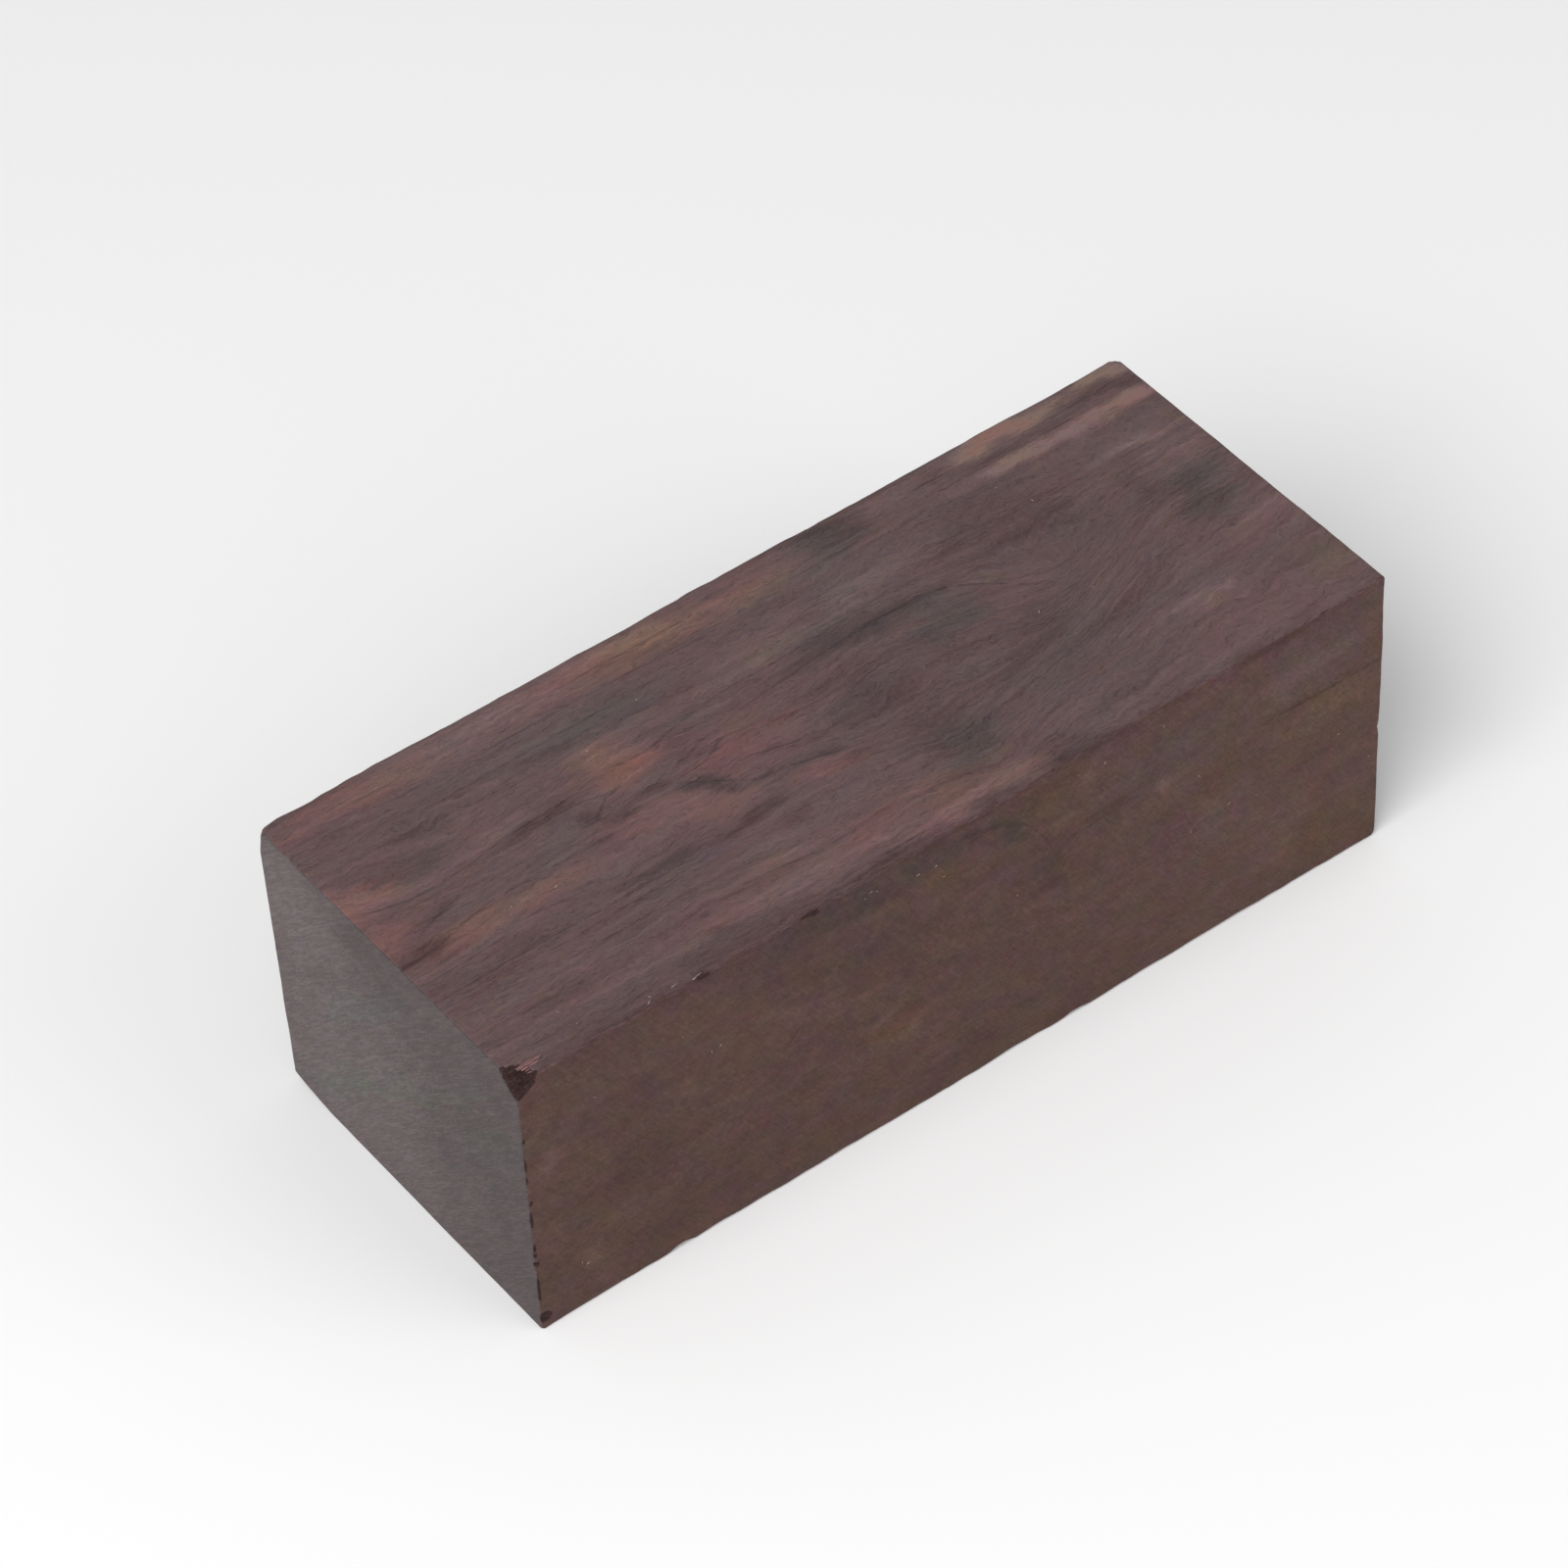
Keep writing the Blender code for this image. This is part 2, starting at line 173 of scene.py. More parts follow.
# Patches on each face: place along, place across or up, two radii, strength and, for one that lies aslant,
# its turn in degrees. The tone patches are lighter or darker than the wood round them.
TOP_PATCHES = {
    "tone": (
        (-35, 21.7, 29, 2.7, 0.42), (-12, 22.4, 6, 1.2, 0.3), (0, 20.4, 12, 2.3, 0.42),
        (15, 21.4, 5, 3.2, -0.32), (25, 22.6, 4.5, 1.2, 0.25), (42, 22.8, 9, 1.6, 1), (57, 23.3, 4, 1.5, 1),
        (40, 20.8, 10, 1, -0.2), (55, 20.6, 5, 1.3, -0.25), (46, 17.8, 15, 1.3, 0.85),
        (58, 17.7, 3, 1.4, 0.6), (-33, 14.6, 25, 2.8, -0.02), (-46, 13.1, 4.4, 1.2, -0.2),
        (-28, 13, 3.4, 1, -0.18), (14, 12.3, 6, 1.6, 0.3), (-3, 11.4, 6, 2, 0.3), (53, 11.2, 8, 0.9, 0.5),
        (33, 12.5, 10, 3.4, -0.25), (9, 7.1, 14, 1.8, -0.42), (3, 2, 3, 3, -0.2), (18, 1.5, 6, 3.4, -0.15),
        (4, -3, 5, 2.8, -0.25), (25, -5.5, 7, 3, -0.15, 38), (7, -13, 4.6, 5, -0.25),
        (9, -17, 3.4, 2.2, -0.18), (14, -6, 16, 9, -0.15), (40, 7, 2.4, 3.2, -0.2),
        (48, 5, 2.6, 3.8, -0.22, -20), (52, -0.8, 3.6, 4.2, -0.28, -15), (33, 8, 8, 2.6, -0.15),
        (55.5, 6.6, 3.6, 2.6, 0.3), (55, -7.4, 5, 1.8, 0.35, 5), (42, -14, 5, 1.5, 0.3, 8),
        (46, -19, 15, 4, 0.15, 4), (33, -9.6, 8, 1.1, -0.18, 12), (-57.6, 8.2, 4.4, 2.7, 0.42, -25),
        (-58.4, 1.6, 3.2, 2.6, 0.32), (-57.2, -3.2, 3.6, 0.8, -0.5), (-52, 1, 3, 1.1, -0.4, 20),
        (-50, 8.9, 5.4, 2.2, -0.2, -10), (-35, 5.3, 6, 1.1, -0.35), (-30, 2.6, 1.8, 1.4, -0.35),
        (-5.6, 1, 1.2, 0.6, -0.5), (-22.6, 1.6, 2.6, 0.8, -0.4), (-28.2, 0.4, 1.6, 1, -0.4, 40),
        (-17, -2, 4, 1.4, -0.48, -38), (-39, 7, 5, 1, 0.3), (-23, 9.4, 6, 1.8, 0.35, -10),
        (-24.5, 6.2, 4.6, 3, 0.36), (-10.6, 1.2, 5.6, 4, 0.18), (-23.4, -2.6, 6, 2.6, 0.27, -10),
        (-17, -5.9, 4, 1.3, 0.36, -5), (-7, -7.8, 3, 1.2, 0.3, -10), (-16, 3, 3, 1, -0.25, -20),
        (-6, -6.2, 2.5, 0.6, -0.35, -5), (-6, -3.3, 3, 1, -0.2), (-43, -3.6, 12, 1.5, 0.32),
        (-50, -9.4, 12, 2, -0.2), (-28, -8.7, 6, 1.3, -0.35), (-17, -8.9, 4, 1.1, -0.5, 5),
        (-13, -12.5, 3.4, 1.2, -0.25, 15), (-37, -14, 3.4, 0.8, -0.18), (-49, -17, 4, 1.2, -0.15),
        (-15, -16.5, 16, 0.9, 0.36, -2), (-20, -19.4, 20, 1.5, 0.25), (4, -22, 7.4, 1.3, 0.5),
        (-12, -20.9, 10, 1, 0.2), (-27, -22.2, 8, 1.5, -0.3), (-45, -23, 13, 1.5, -0.2),
        (14.5, -22.5, 3.4, 2.4, -0.28), (0, -25.2, 75, 1.9, -0.45),
    ),
    "red": (
        (-51, 21.6, 9, 2.8, 0.9), (-25, 21, 8, 2.4, 0.5), (-8, 20.8, 15, 2.7, 1), (-22, 15, 8, 3.8, -0.9),
        (-40, 15.5, 12, 2.6, -0.2), (-57.4, 8.2, 4.6, 2.6, 1.35, -22), (-57.8, 1.2, 3.8, 3.2, 1.1),
        (-48, -3.6, 14, 2.2, 1), (-24.5, 7.8, 5.2, 4, 0.7), (-24.4, 5.6, 3.4, 2.2, 0.75),
        (-18, 5, 4, 2, 0.4), (-11, 1, 6.6, 5, 1), (-24, -2.5, 6, 2.7, 0.95, -10),
        (-17, -5.8, 4, 1.6, 0.9, -5), (-6, -8.2, 4, 1.5, 0.8, -10), (-17, -1.5, 3.6, 1.2, -1, -38),
        (-30, -18.5, 9, 2.8, 0.4), (-48, -18.5, 8, 2, 0.3), (0, -20.5, 13, 3.6, 0.8),
        (-12, -17.5, 13, 2.8, 0.3), (14.5, 20.5, 3.5, 4, -0.7), (10, 8, 10, 3.6, -0.6),
        (18, 3, 3.8, 4.8, -0.8), (12, 14, 4, 2, -0.5), (8, -15, 4.2, 4.2, -0.9), (14, -2, 3, 3, 0.2),
        (4, -2, 4, 3, -0.4), (25, -12, 12, 9, -0.3), (54, 0, 4, 4.8, -0.9), (40, 3, 5, 3, -0.3),
        (42, 22.8, 5, 1.3, 1.1), (57.5, 17.6, 3, 1.4, 0.8), (50, 17.5, 9, 3, 0.2), (55, -8.4, 5, 2.4, 0.3),
        (-25, -9.6, 5, 1.9, -0.6, -10), (-49, 8.8, 4, 1.8, -0.5), (-36, 2, 3, 3, -0.4),
    ),
    "yellow": (
        (-9, 21, 9.6, 2.5, 1.1), (4.5, 19.4, 5, 1.9, 0.9), (-50, 21.5, 8, 2, 0.3), (-40, 21, 5, 2, 0.3),
        (-25.5, 8, 4, 3.4, 0.9), (-56.6, 8, 4.6, 1.5, 0.8, -15), (-47, -3.2, 11, 1.7, 0.8),
        (-58.5, 0, 3, 2, 0.4), (-17, -5.3, 5, 1.2, 0.5, -10), (-8, 3, 3.4, 2.4, 0.5, -40),
        (-20, -16.5, 5, 1.9, 0.6), (4, -19.6, 9, 3.6, 0.6, -20), (43, 22.6, 9, 1.3, 0.9),
        (56, 23.4, 3, 1.3, 1), (41, 18.2, 3, 1.3, 0.8), (53, 17.8, 4, 1.3, 0.8),
        (58.5, 12.5, 1.5, 1.5, 0.8), (-1, 10.6, 3, 1.2, 0.5), (25, 14, 4, 3.8, 0.3),
        (55, -17.5, 4, 2.8, 0.9, 30), (42, -14.8, 2, 1.6, 0.7), (-49, -17, 2, 2.4, 0.5),
        (-56, -14, 2, 1.6, 0.5), (26, 4.5, 1.2, 1.2, 0.8), (-22, -9.6, 5, 1.9, -0.5, -20),
        (5, -2, 3, 3, -0.4),
    ),
}
FOOT_PATCHES = {
    "tone": (
        (-38, 15, 20, 2.5, 0.4, 4), (20, 21, 28, 2, -0.3), (-8, 8, 16, 2, 0.35, 5),
        (30, 5, 14, 2.4, -0.35, -5), (-30, -4, 12, 3, -0.35, 14), (5, -1, 10, 2, 0.3, -4),
        (44, -4, 12, 2, 0.35, -4), (-45, -15, 14, 2, 0.3), (10, -12, 20, 1.8, -0.35), (40, -20, 20, 2, 0.4),
        (-10, -21, 18, 2, -0.3),
    ),
    "red": (
        (-38, 15, 18, 2.4, 0.8, 4), (-6, 8, 14, 1.8, 0.9, 5), (44, -4, 12, 1.8, 0.8, -4),
        (-45, -15, 14, 2, 0.8), (20, 21, 26, 2, -0.6), (30, 5, 13, 2.2, -0.7, -5), (10, -12, 18, 1.6, -0.6),
        (5, -1, 8, 1.5, 0.6, -4),
    ),
    "yellow": (
        (-42, 15, 12, 2, 0.8, 4), (5, -1, 8, 1.5, 0.9, -4), (40, -20, 18, 1.6, 0.9),
        (-20, 9, 6, 1.5, 0.8, 5),
    ),
}
FRONT_PATCHES = {
    "tone": (
        (44, 18, 26, 26, 0.14), (-46, 17, 9, 4.5, -0.22), (-44, 27, 2, 3, -0.2), (-38, 5, 12, 2.6, -0.15),
        (-10, 37, 20, 2, -0.25), (10, 26, 3, 4, -0.22, -40), (13, 22.4, 6, 1.2, -0.18),
        (19.5, 28.6, 4.5, 0.8, -0.35), (52, 28, 8, 0.7, -0.25), (-2, 6, 2, 2.6, -0.2),
        (5.6, 34.6, 4.4, 1.4, -0.25, -50), (30, 15, 2, 2, -0.15), (-58, 25, 2.5, 2.5, 0.3),
        (-24.5, 26, 2.6, 1.3, 0.3, -30), (-15, 21.6, 6, 2.2, 0.2, -20), (-12.5, 17, 1.5, 2, 0.25),
        (-8.6, 13.8, 1.8, 1.1, 0.4), (13, 31, 1.6, 1.1, 0.45), (17, 36.4, 1.4, 1.3, 0.35),
        (2, 38, 2, 1, 0.35), (27.4, 27.6, 0.9, 1.8, 0.5, 10), (32, 21, 0.9, 3.4, 0.25, 20),
        (37.6, 18.8, 1.2, 0.9, 0.3), (48, 33, 10, 1.4, 0.25), (52, 25, 9, 1.6, 0.18),
        (-53.4, 6.8, 1.8, 1.2, 0.5, 40), (-39, 24, 1.2, 1.6, 0.25), (-6, 8, 1.5, 2, 0.25),
        (-18, 29.6, 6, 1.4, -0.15), (19, 31, 5, 0.7, 0.2), (44, 8, 4, 6, 0.15), (0, 40.6, 75, 1.5, -0.45),
    ),
    "red": (
        (-14, 37, 15, 3, -0.8), (-17, 30, 3, 3.6, -0.8), (5.6, 35, 5, 1.6, -1.3, -42),
        (30, 31.5, 9, 4.6, -0.8), (49, 34, 9, 5, -0.7), (33, 16.5, 1.8, 4, -0.9, 15),
        (10.5, 25.6, 3, 1.8, -0.5), (-56, 28.5, 4, 1.5, -0.5), (-31.5, 25, 2, 3, 0.5),
        (-31, 13, 2.2, 2.6, 0.5), (-9, 14, 4.5, 2, 0.5, -10), (55.5, 25.6, 3, 1.2, 0.5, -25),
        (9, 37, 1.6, 2.4, 0.4), (52, 3.4, 5, 2.4, 0.4, -20), (-26.4, 5, 1.4, 2.2, 0.5),
    ),
    "yellow": (
        (11, 36.4, 5.6, 3, 1.1), (52, 25.4, 7, 3, 1.2, -10), (37, 24.6, 3, 2.6, 1), (51, 5, 8, 5, 1.1),
        (-32, 25.6, 4.6, 2.8, 0.8, 10), (-10.4, 14, 3.4, 4.4, 0.9, -20), (-2.6, 32.4, 2.2, 1.8, 1),
        (5, 1.8, 5, 2.2, 1), (-50, 9, 3.4, 3, 0.8), (-57.6, 7.6, 1.8, 2, 0.8), (-43.6, 3, 1.8, 2.4, 0.8),
        (-22.6, 3.4, 2.4, 2.6, 0.8), (-57, 19, 1.4, 2.2, 0.8), (-45.4, 21.8, 1.6, 1.8, 0.7),
        (-38.6, 33.6, 2, 1.6, 0.8, -30), (21, 1, 3, 1.2, 0.7), (58, 33, 1.6, 3, 0.5), (-24, 36, 6, 4, -0.8),
        (-12, 30, 6, 3, -0.8), (0, 37, 5, 1.6, -0.8, -30), (7, 27.6, 4, 2.6, -0.8, -40),
        (26, 30, 6, 4, -0.6), (27, 18, 6, 3.4, -0.8, -25), (35.6, 17, 1.8, 2, -0.7), (49, 35, 9, 4.6, -0.7),
        (-43, 28, 3.4, 3, -0.7, -30), (-32, 15.4, 1.6, 2.4, -0.9), (-22, 18, 3, 4, -0.5, 20),
        (-19, 7.6, 2.6, 3, -0.6, -30), (33, 33, 3, 4, -0.4), (0, 40, 75, 3.4, -0.7),
    ),
}
BACK_PATCHES = {
    "tone": (
        (-40, 32, 18, 4, -0.25), (-5, 25, 14, 3, 0.25, 3), (30, 31, 16, 3, -0.25, -4), (44, 18, 12, 4, 0.2),
        (-30, 12, 16, 4, 0.2), (10, 8, 16, 4, -0.2), (-50, 20, 8, 6, -0.15), (-12, 34, 2, 1.6, 0.35),
        (24, 15, 1.4, 2.4, 0.35), (-36, 24, 2, 1.4, 0.3, 20), (52, 8, 3, 1.4, 0.3),
    ),
    "red": (
        (-40, 33, 15, 3, -0.8), (30, 31, 13, 3, -0.8, -4), (-48, 20, 6, 4, 0.4), (12, 10, 8, 4, 0.4),
        (2, 18, 3, 4, -0.7),
    ),
    "yellow": (
        (-5, 25, 9, 3, 1, 3), (46, 18, 9, 4, 1), (-30, 12, 8, 4, 0.9), (22, 20, 4, 4, 0.8),
        (-52, 6, 5, 4, 0.9), (10, 3, 6, 2, 0.9), (-20, 34, 8, 3, -0.8), (36, 28, 6, 4, -0.7),
        (0, 12, 5, 4, -0.7), (-40, 22, 4, 5, -0.7),
    ),
}
END_PATCHES = {
    "tone": (
        # (0, 1, 60, 9, 0.2) is painted light: it lightens the bottom strip of both ends against the shade
        # that falls there
        (14, 12, 21, 22, 0.75), (20, 35, 11, 9, 0.6), (0, 20, 80, 60, -0.45), (0, 1, 60, 9, 0.2),
        (22, 26, 3, 12, 0.15), (4, 36, 6, 5, -0.2), (-24, 20, 7, 40, -0.15),
    ),
    "red": (
        (-4, 22, 22, 1.6, -0.8, -38), (6, 26, 12, 2, -0.8, -45), (-17, 24, 9, 2.6, -0.6, -40),
        (14, 8, 9, 3, -0.8, -45),
    ),
    "yellow": (
        (-4, 21, 20, 1.4, 0.8, -38), (-18, 26, 8, 2, 0.6, -40), (12, 10, 9, 2, 0.6, -45),
    ),
}
HUES = ("tone", "red", "yellow")
PATCH_EDGE = (1.45, 0.35)  # where a patch starts and where it is full, in radii from its centre
PATCH_WAVE = (5.0, 2.2)  # the length and width of the bays in a patch's border
PATCH_STRAY = (2.2, 0.8)  # how far the border strays along and across
PATCH_NIBBLES = (2.3, 0.5)  # how many times finer the smaller bays are, and their strength

# Dark veins, in groups whose veins keep clear of each other: the half-width, the faintness and points of each
TOP_VEINS = (
    (
        (0.22, 0.5, ((-60, 7), (-55, 5.2), (-45, 5), (-40, 5.7), (-31, 6.3))),
        (0.2, 0.5, ((-26, 7.8), (-23, 7.0), (-20, 6.9), (-15, 7.9), (-10, 8.7), (0, 9))),
        (0.32, 0.2, ((-30.4, 1.5), (-29, 2.7), (-27.6, 3.9))),
        (0.2, 0.4, ((-11.8, -1.1), (-9, -2), (-6.4, -2.7))),
        (0.2, 0.7, ((-60, 19.5), (-52, 19.2), (-45, 18.5), (-30, 18.3), (0, 18), (12, 18))),
        (0.2, 0.6, ((29, 21.4), (45, 20.9), (57, 21.2))),
        (0.22, 0.8, ((-60, -9.8), (-45, -9.6), (-30, -9.9))),
        (0.2, 0.7, ((-15, -22.7), (0, -22.8))),
        (0.2, 0.9, ((12, -12.2), (20, -10), (28, -8.3), (33, -6.8))),
    ),
    (
        (0.22, 0.5, ((-22.3, 1.8), (-20, 2.9), (-17, 3.2), (-15, 4), (-10, 5), (-5, 5.8), (0, 6.2),
                     (5, 6.8), (14, 7), (20, 6.6), (24, 4.4), (29, 0))),
        (0.35, 0.5, ((-60, -3.5), (-55, -3), (-50, -1.8), (-45, -1), (-40, -1.2), (-30, -1.3))),
        (0.2, 0.5, ((-50, 21), (-41, 20.9))),
        (0.2, 0.6, ((-33, 21), (-10, 21.1), (-2, 20.9))),
        (0.2, 0.6, ((31, 19.3), (60, 19.2))),
        (0.2, 0.7, ((-60, -6.7), (-50, -6.5), (-45, -5.6), (-40, -6), (-35, -6.7), (-30, -7))),
        (0.22, 0.8, ((-60, -11), (-45, -11.2), (-30, -11))),
        (0.2, 0.6, ((-24, -16.6), (-20, -17), (-15, -17.6), (-10, -17.6), (-6, -17.2))),
        (0.2, 0.4, ((-59.8, 9.5), (-57, 7.4))),
    ),
    (
        (0.26, 0.3, ((-18.5, 1), (-16, 1.3), (-14.5, 2), (-12.8, 3.1))),
        (0.34, 0.75, ((-26, 1.4), (-22, 1.4), (-20.4, 0.6), (-19, -0.4), (-17, -1.8), (-15, -3.4),
                      (-13.4, -4.6))),
        (0.22, 0.4, ((-12.5, -4.9), (-10, -5.1), (-7, -5.9), (-4, -6.9))),
        (0.28, 0.2, ((-31.5, 4.9), (-29.6, 4.8), (-27.4, 4.2))),
        (0.2, 0.5, ((-60, 16.8), (-57, 16.9))),
        (0.2, 0.7, ((-40, 15.1), (-25, 15.2), (-8, 15.4))),
        (0.2, 0.8, ((-60, -13.3), (-45, -13.6), (-34, -13.6))),
        (0.2, 0.9, ((20, 12.7), (27, 12.2), (36, 10.8), (50, 10.6))),
        (0.2, 0.7, ((-56, -17), (-46, -17))),
        (0.22, 0.3, ((-54, 0.3), (-50, 1.3), (-48.5, 1.8))),
    ),
)
FOOT_VEINS = (
    (
        (0.3, 0.5, ((-60, 9), (-40, 12.5), (-10, 15), (20, 14.4))),
        (0.3, 0.4, ((-50, -9), (-25, -5.5), (0, -1), (25, -2.6))),
    ),
    (
        (0.2, 0.6, ((-30, 5.5), (-5, 8), (30, 6.4), (60, 7.4))),
        (0.25, 0.5, ((-20, -13), (0, -10.5), (30, -12.4))),
    ),
    ((0.2, 0.6, ((10, 18), (35, 17.6), (60, 19))),),
)
FRONT_VEINS = (
    (
        (0.25, 0.3, ((43, 28.3), (50, 28), (60, 27.9))),
        (0.6, 0.7, ((-1, 37.6), (2, 37), (6, 35.5), (9, 33), (11, 29.5), (12.2, 26))),
    ),
    ((0.18, 0.4, ((-25, 21.8), (-20, 27.2))),),
    ((0.2, 0.7, ((14, 28.2), (24, 28.5))),),
)
BACK_VEINS = (
    ((0.3, 0.5, ((-55, 27), (-20, 29), (10, 26.5))),),
    ((0.2, 0.5, ((20, 24), (55, 22.4))),),
    (),
)
NO_VEINS = ((), (), ())
VEIN_TAPER = 2.0  # how far past its last point a vein fades
VEIN_FAR = 6.0  # distances past this many half-widths are all alike
VEIN_EDGE = (1.6, 0.3)  # where a vein starts and where it is full, in half-widths from its middle

# Each face: the axis it faces along, the end of that axis, the surface it shows, and its place in the map
LONG_GRAIN, SAWN_SIDE, CUT_END = 0, 1, 2
FACES = {
    "top": (2, 1, LONG_GRAIN, (0, 0)),
    "foot": (2, 0, LONG_GRAIN, (0, 52)),
    "front": (1, 0, SAWN_SIDE, (0, 104)),
    "back": (1, 1, SAWN_SIDE, (0, 146)),
    "near": (0, 0, CUT_END, (124, 0)),
    "far": (0, 1, CUT_END, (124, 52)),
}
FACE_LOOKS = {
    "top": (TOP_PATCHES, TOP_VEINS, TOP_GRAIN),
    "foot": (FOOT_PATCHES, FOOT_VEINS, FOOT_GRAIN),
    "front": (FRONT_PATCHES, FRONT_VEINS, None),
    "back": (BACK_PATCHES, BACK_VEINS, None),
    "near": (END_PATCHES, NO_VEINS, None),
    "far": (END_PATCHES, NO_VEINS, None),
}
EDGE_BLEND = 1.3  # how far from a long edge the long grain and the sawn side mix
MAP_SIZE = 188.0
MAP_MARGIN = 1.0

# Sanding marks on the ends: how far they slope down towards the back
SANDING_SLOPE = math.radians(42.5)

# Torn fibres at the chipped corner and long flecks on the top: start, end and half-width of each
SPLINTERS = (
    ((-58.3, -22.8, 39.46), (-55.0, -23.05, 39.62), 0.12),
    ((-58.2, -23.05, 39.44), (-55.2, -23.2, 39.62), 0.15),
    ((-57.9, -23.4, 39.4), (-55.7, -23.45, 39.58), 0.14),
    ((-57.6, -23.75, 39.36), (-56.2, -23.72, 39.54), 0.09),
    ((-57.6, -24.0, 39.25), (-56.2, -24.15, 39.45), 0.09),
)
LONG_FLECKS = (
    ((-36.4, -24.5, 39.62), (-35.1, -24.42, 39.68), 0.07),
    ((-38.9, -23.9, 39.56), (-37.9, -23.7, 39.6), 0.06),
    ((-42.1, -24.2, 39.52), (-41.6, -23.9, 39.6), 0.08),
)

# Short flecks of dust: where they lie along and across the top, and along and up the front
TOP_FLECKS = (
    (-49.5, -21.7), (-50.2, -19), (-41.4, -23.5), (26.5, -3.7), (33.6, -4.4), (35.5, 15.6), (37.3, 11.3),
    (-45, -3.2), (-39.6, -3.8), (-25, 11), (-16.1, 14),
)
FRONT_FLECKS = (
    (27.5, 36.8), (27, 28.6), (31, 29.5), (32.3, 26), (31, 18), (36.5, 19), (52.5, 19.8), (57, 13.5),
    (6.5, 24), (-4.3, 35.8), (-6.7, 36), (-3.3, 33.5), (15.5, 36.8), (19.2, 36.5), (-13, 37.5),
    (-12.2, 37.1), (-13.8, 37), (-54, 7), (-53.3, 6.4), (-50.2, 31), (-38.5, 32.2), (-35, 27.5),
    (-33.8, 27.7),
)
FLECK_LENGTH = 0.5
FLECK_HALF_WIDTH = 0.07
FLECK_SINK = 0.05
FLECK_TURN = 2.4  # the turn from one fleck to the next, in radians
FLECK_STEP = 0.618  # steps of this share spread the flecks' lengths
FLECK_SLANT = 0.9  # how much of their slope the flecks on the front keep

# The form of a fibre
FIBRE_SIDES = 6
FIBRE_RINGS = 7
FIBRE_TIP = 0.25  # the least width of its ends, as a share of its middle
FIBRE_ARCH = (0.12, 0.83)  # the part of a half wave that its width follows: its start and its length
FIBRE_FULLNESS = 0.6
FIBRE_FLATNESS = 0.6
FIBRE_BEND = 0.8  # how far it bends, in half-widths
FIBRE_BENDS = (2.1, 3.7)  # the number of its bends, and how far apart two fibres' bends are in the noise

# The photograph's camera. Its roll turns its top towards the right of the picture.
PICTURE = 1600
FOCAL_PIXELS = 6653.8
SENSOR = 36.0
CAMERA_AZIMUTH = math.radians(-33.28)
CAMERA_ELEVATION = math.radians(44.56)
CAMERA_ROLL = math.radians(4.8)
CAMERA_DISTANCE = 731.8
CAMERA_AIM = Vector((-2.67, 6.32, 23.80))

# The studio, in metres and watts
FLOOR_SIZE = 6.0
FLOOR_WHITE = 0.93
FLOOR_ROUGHNESS = 0.9
FLOOR_SPECULAR = 0.1
WORLD_STRENGTH = 0.42
KEY_LIGHT = {"place": (-0.75, -0.35, 0.95), "size": 0.9, "energy": 12.0}
FILL_LIGHT = {"place": (0.55, -0.95, 0.55), "size": 0.9, "energy": 4.0}

# The colours of each surface from its darkest to its lightest, in display values from 0 to 255
COLOURS = {
    "grain": ((69, 51, 52), (83, 65, 65), (97, 78, 78), (110, 89, 88), (126, 103, 101)),
    "side": ((60, 40, 36), (70, 49, 44), (80, 58, 52), (90, 67, 61), (101, 78, 72)),
    # the grey of the ends is partly sanding dust and partly a painted sheen, the haze of light off the sanded
    # end grain
    "end": ((66, 56, 56), (76, 65, 66), (86, 75, 75), (96, 85, 85), (108, 96, 97)),
    # the torn wood in the chips: its own dark red-brown, darkened further by painted shade in the hollows
    "broken": ((30, 20, 19), (42, 29, 27), (54, 38, 36), (70, 50, 47), (96, 72, 68)),
}
RED_SHIFT = (0.10, -0.06, -0.06)  # what one unit of redness does to the three parts of a colour
YELLOW_SHIFT = (0.0, 0.055, -0.10)
SPLINTER_COLOUR = (146, 102, 102)
FLECK_COLOUR = (172, 152, 134)
FIBRE_SHADE = 0.62  # how dark the dark streaks of a fibre are

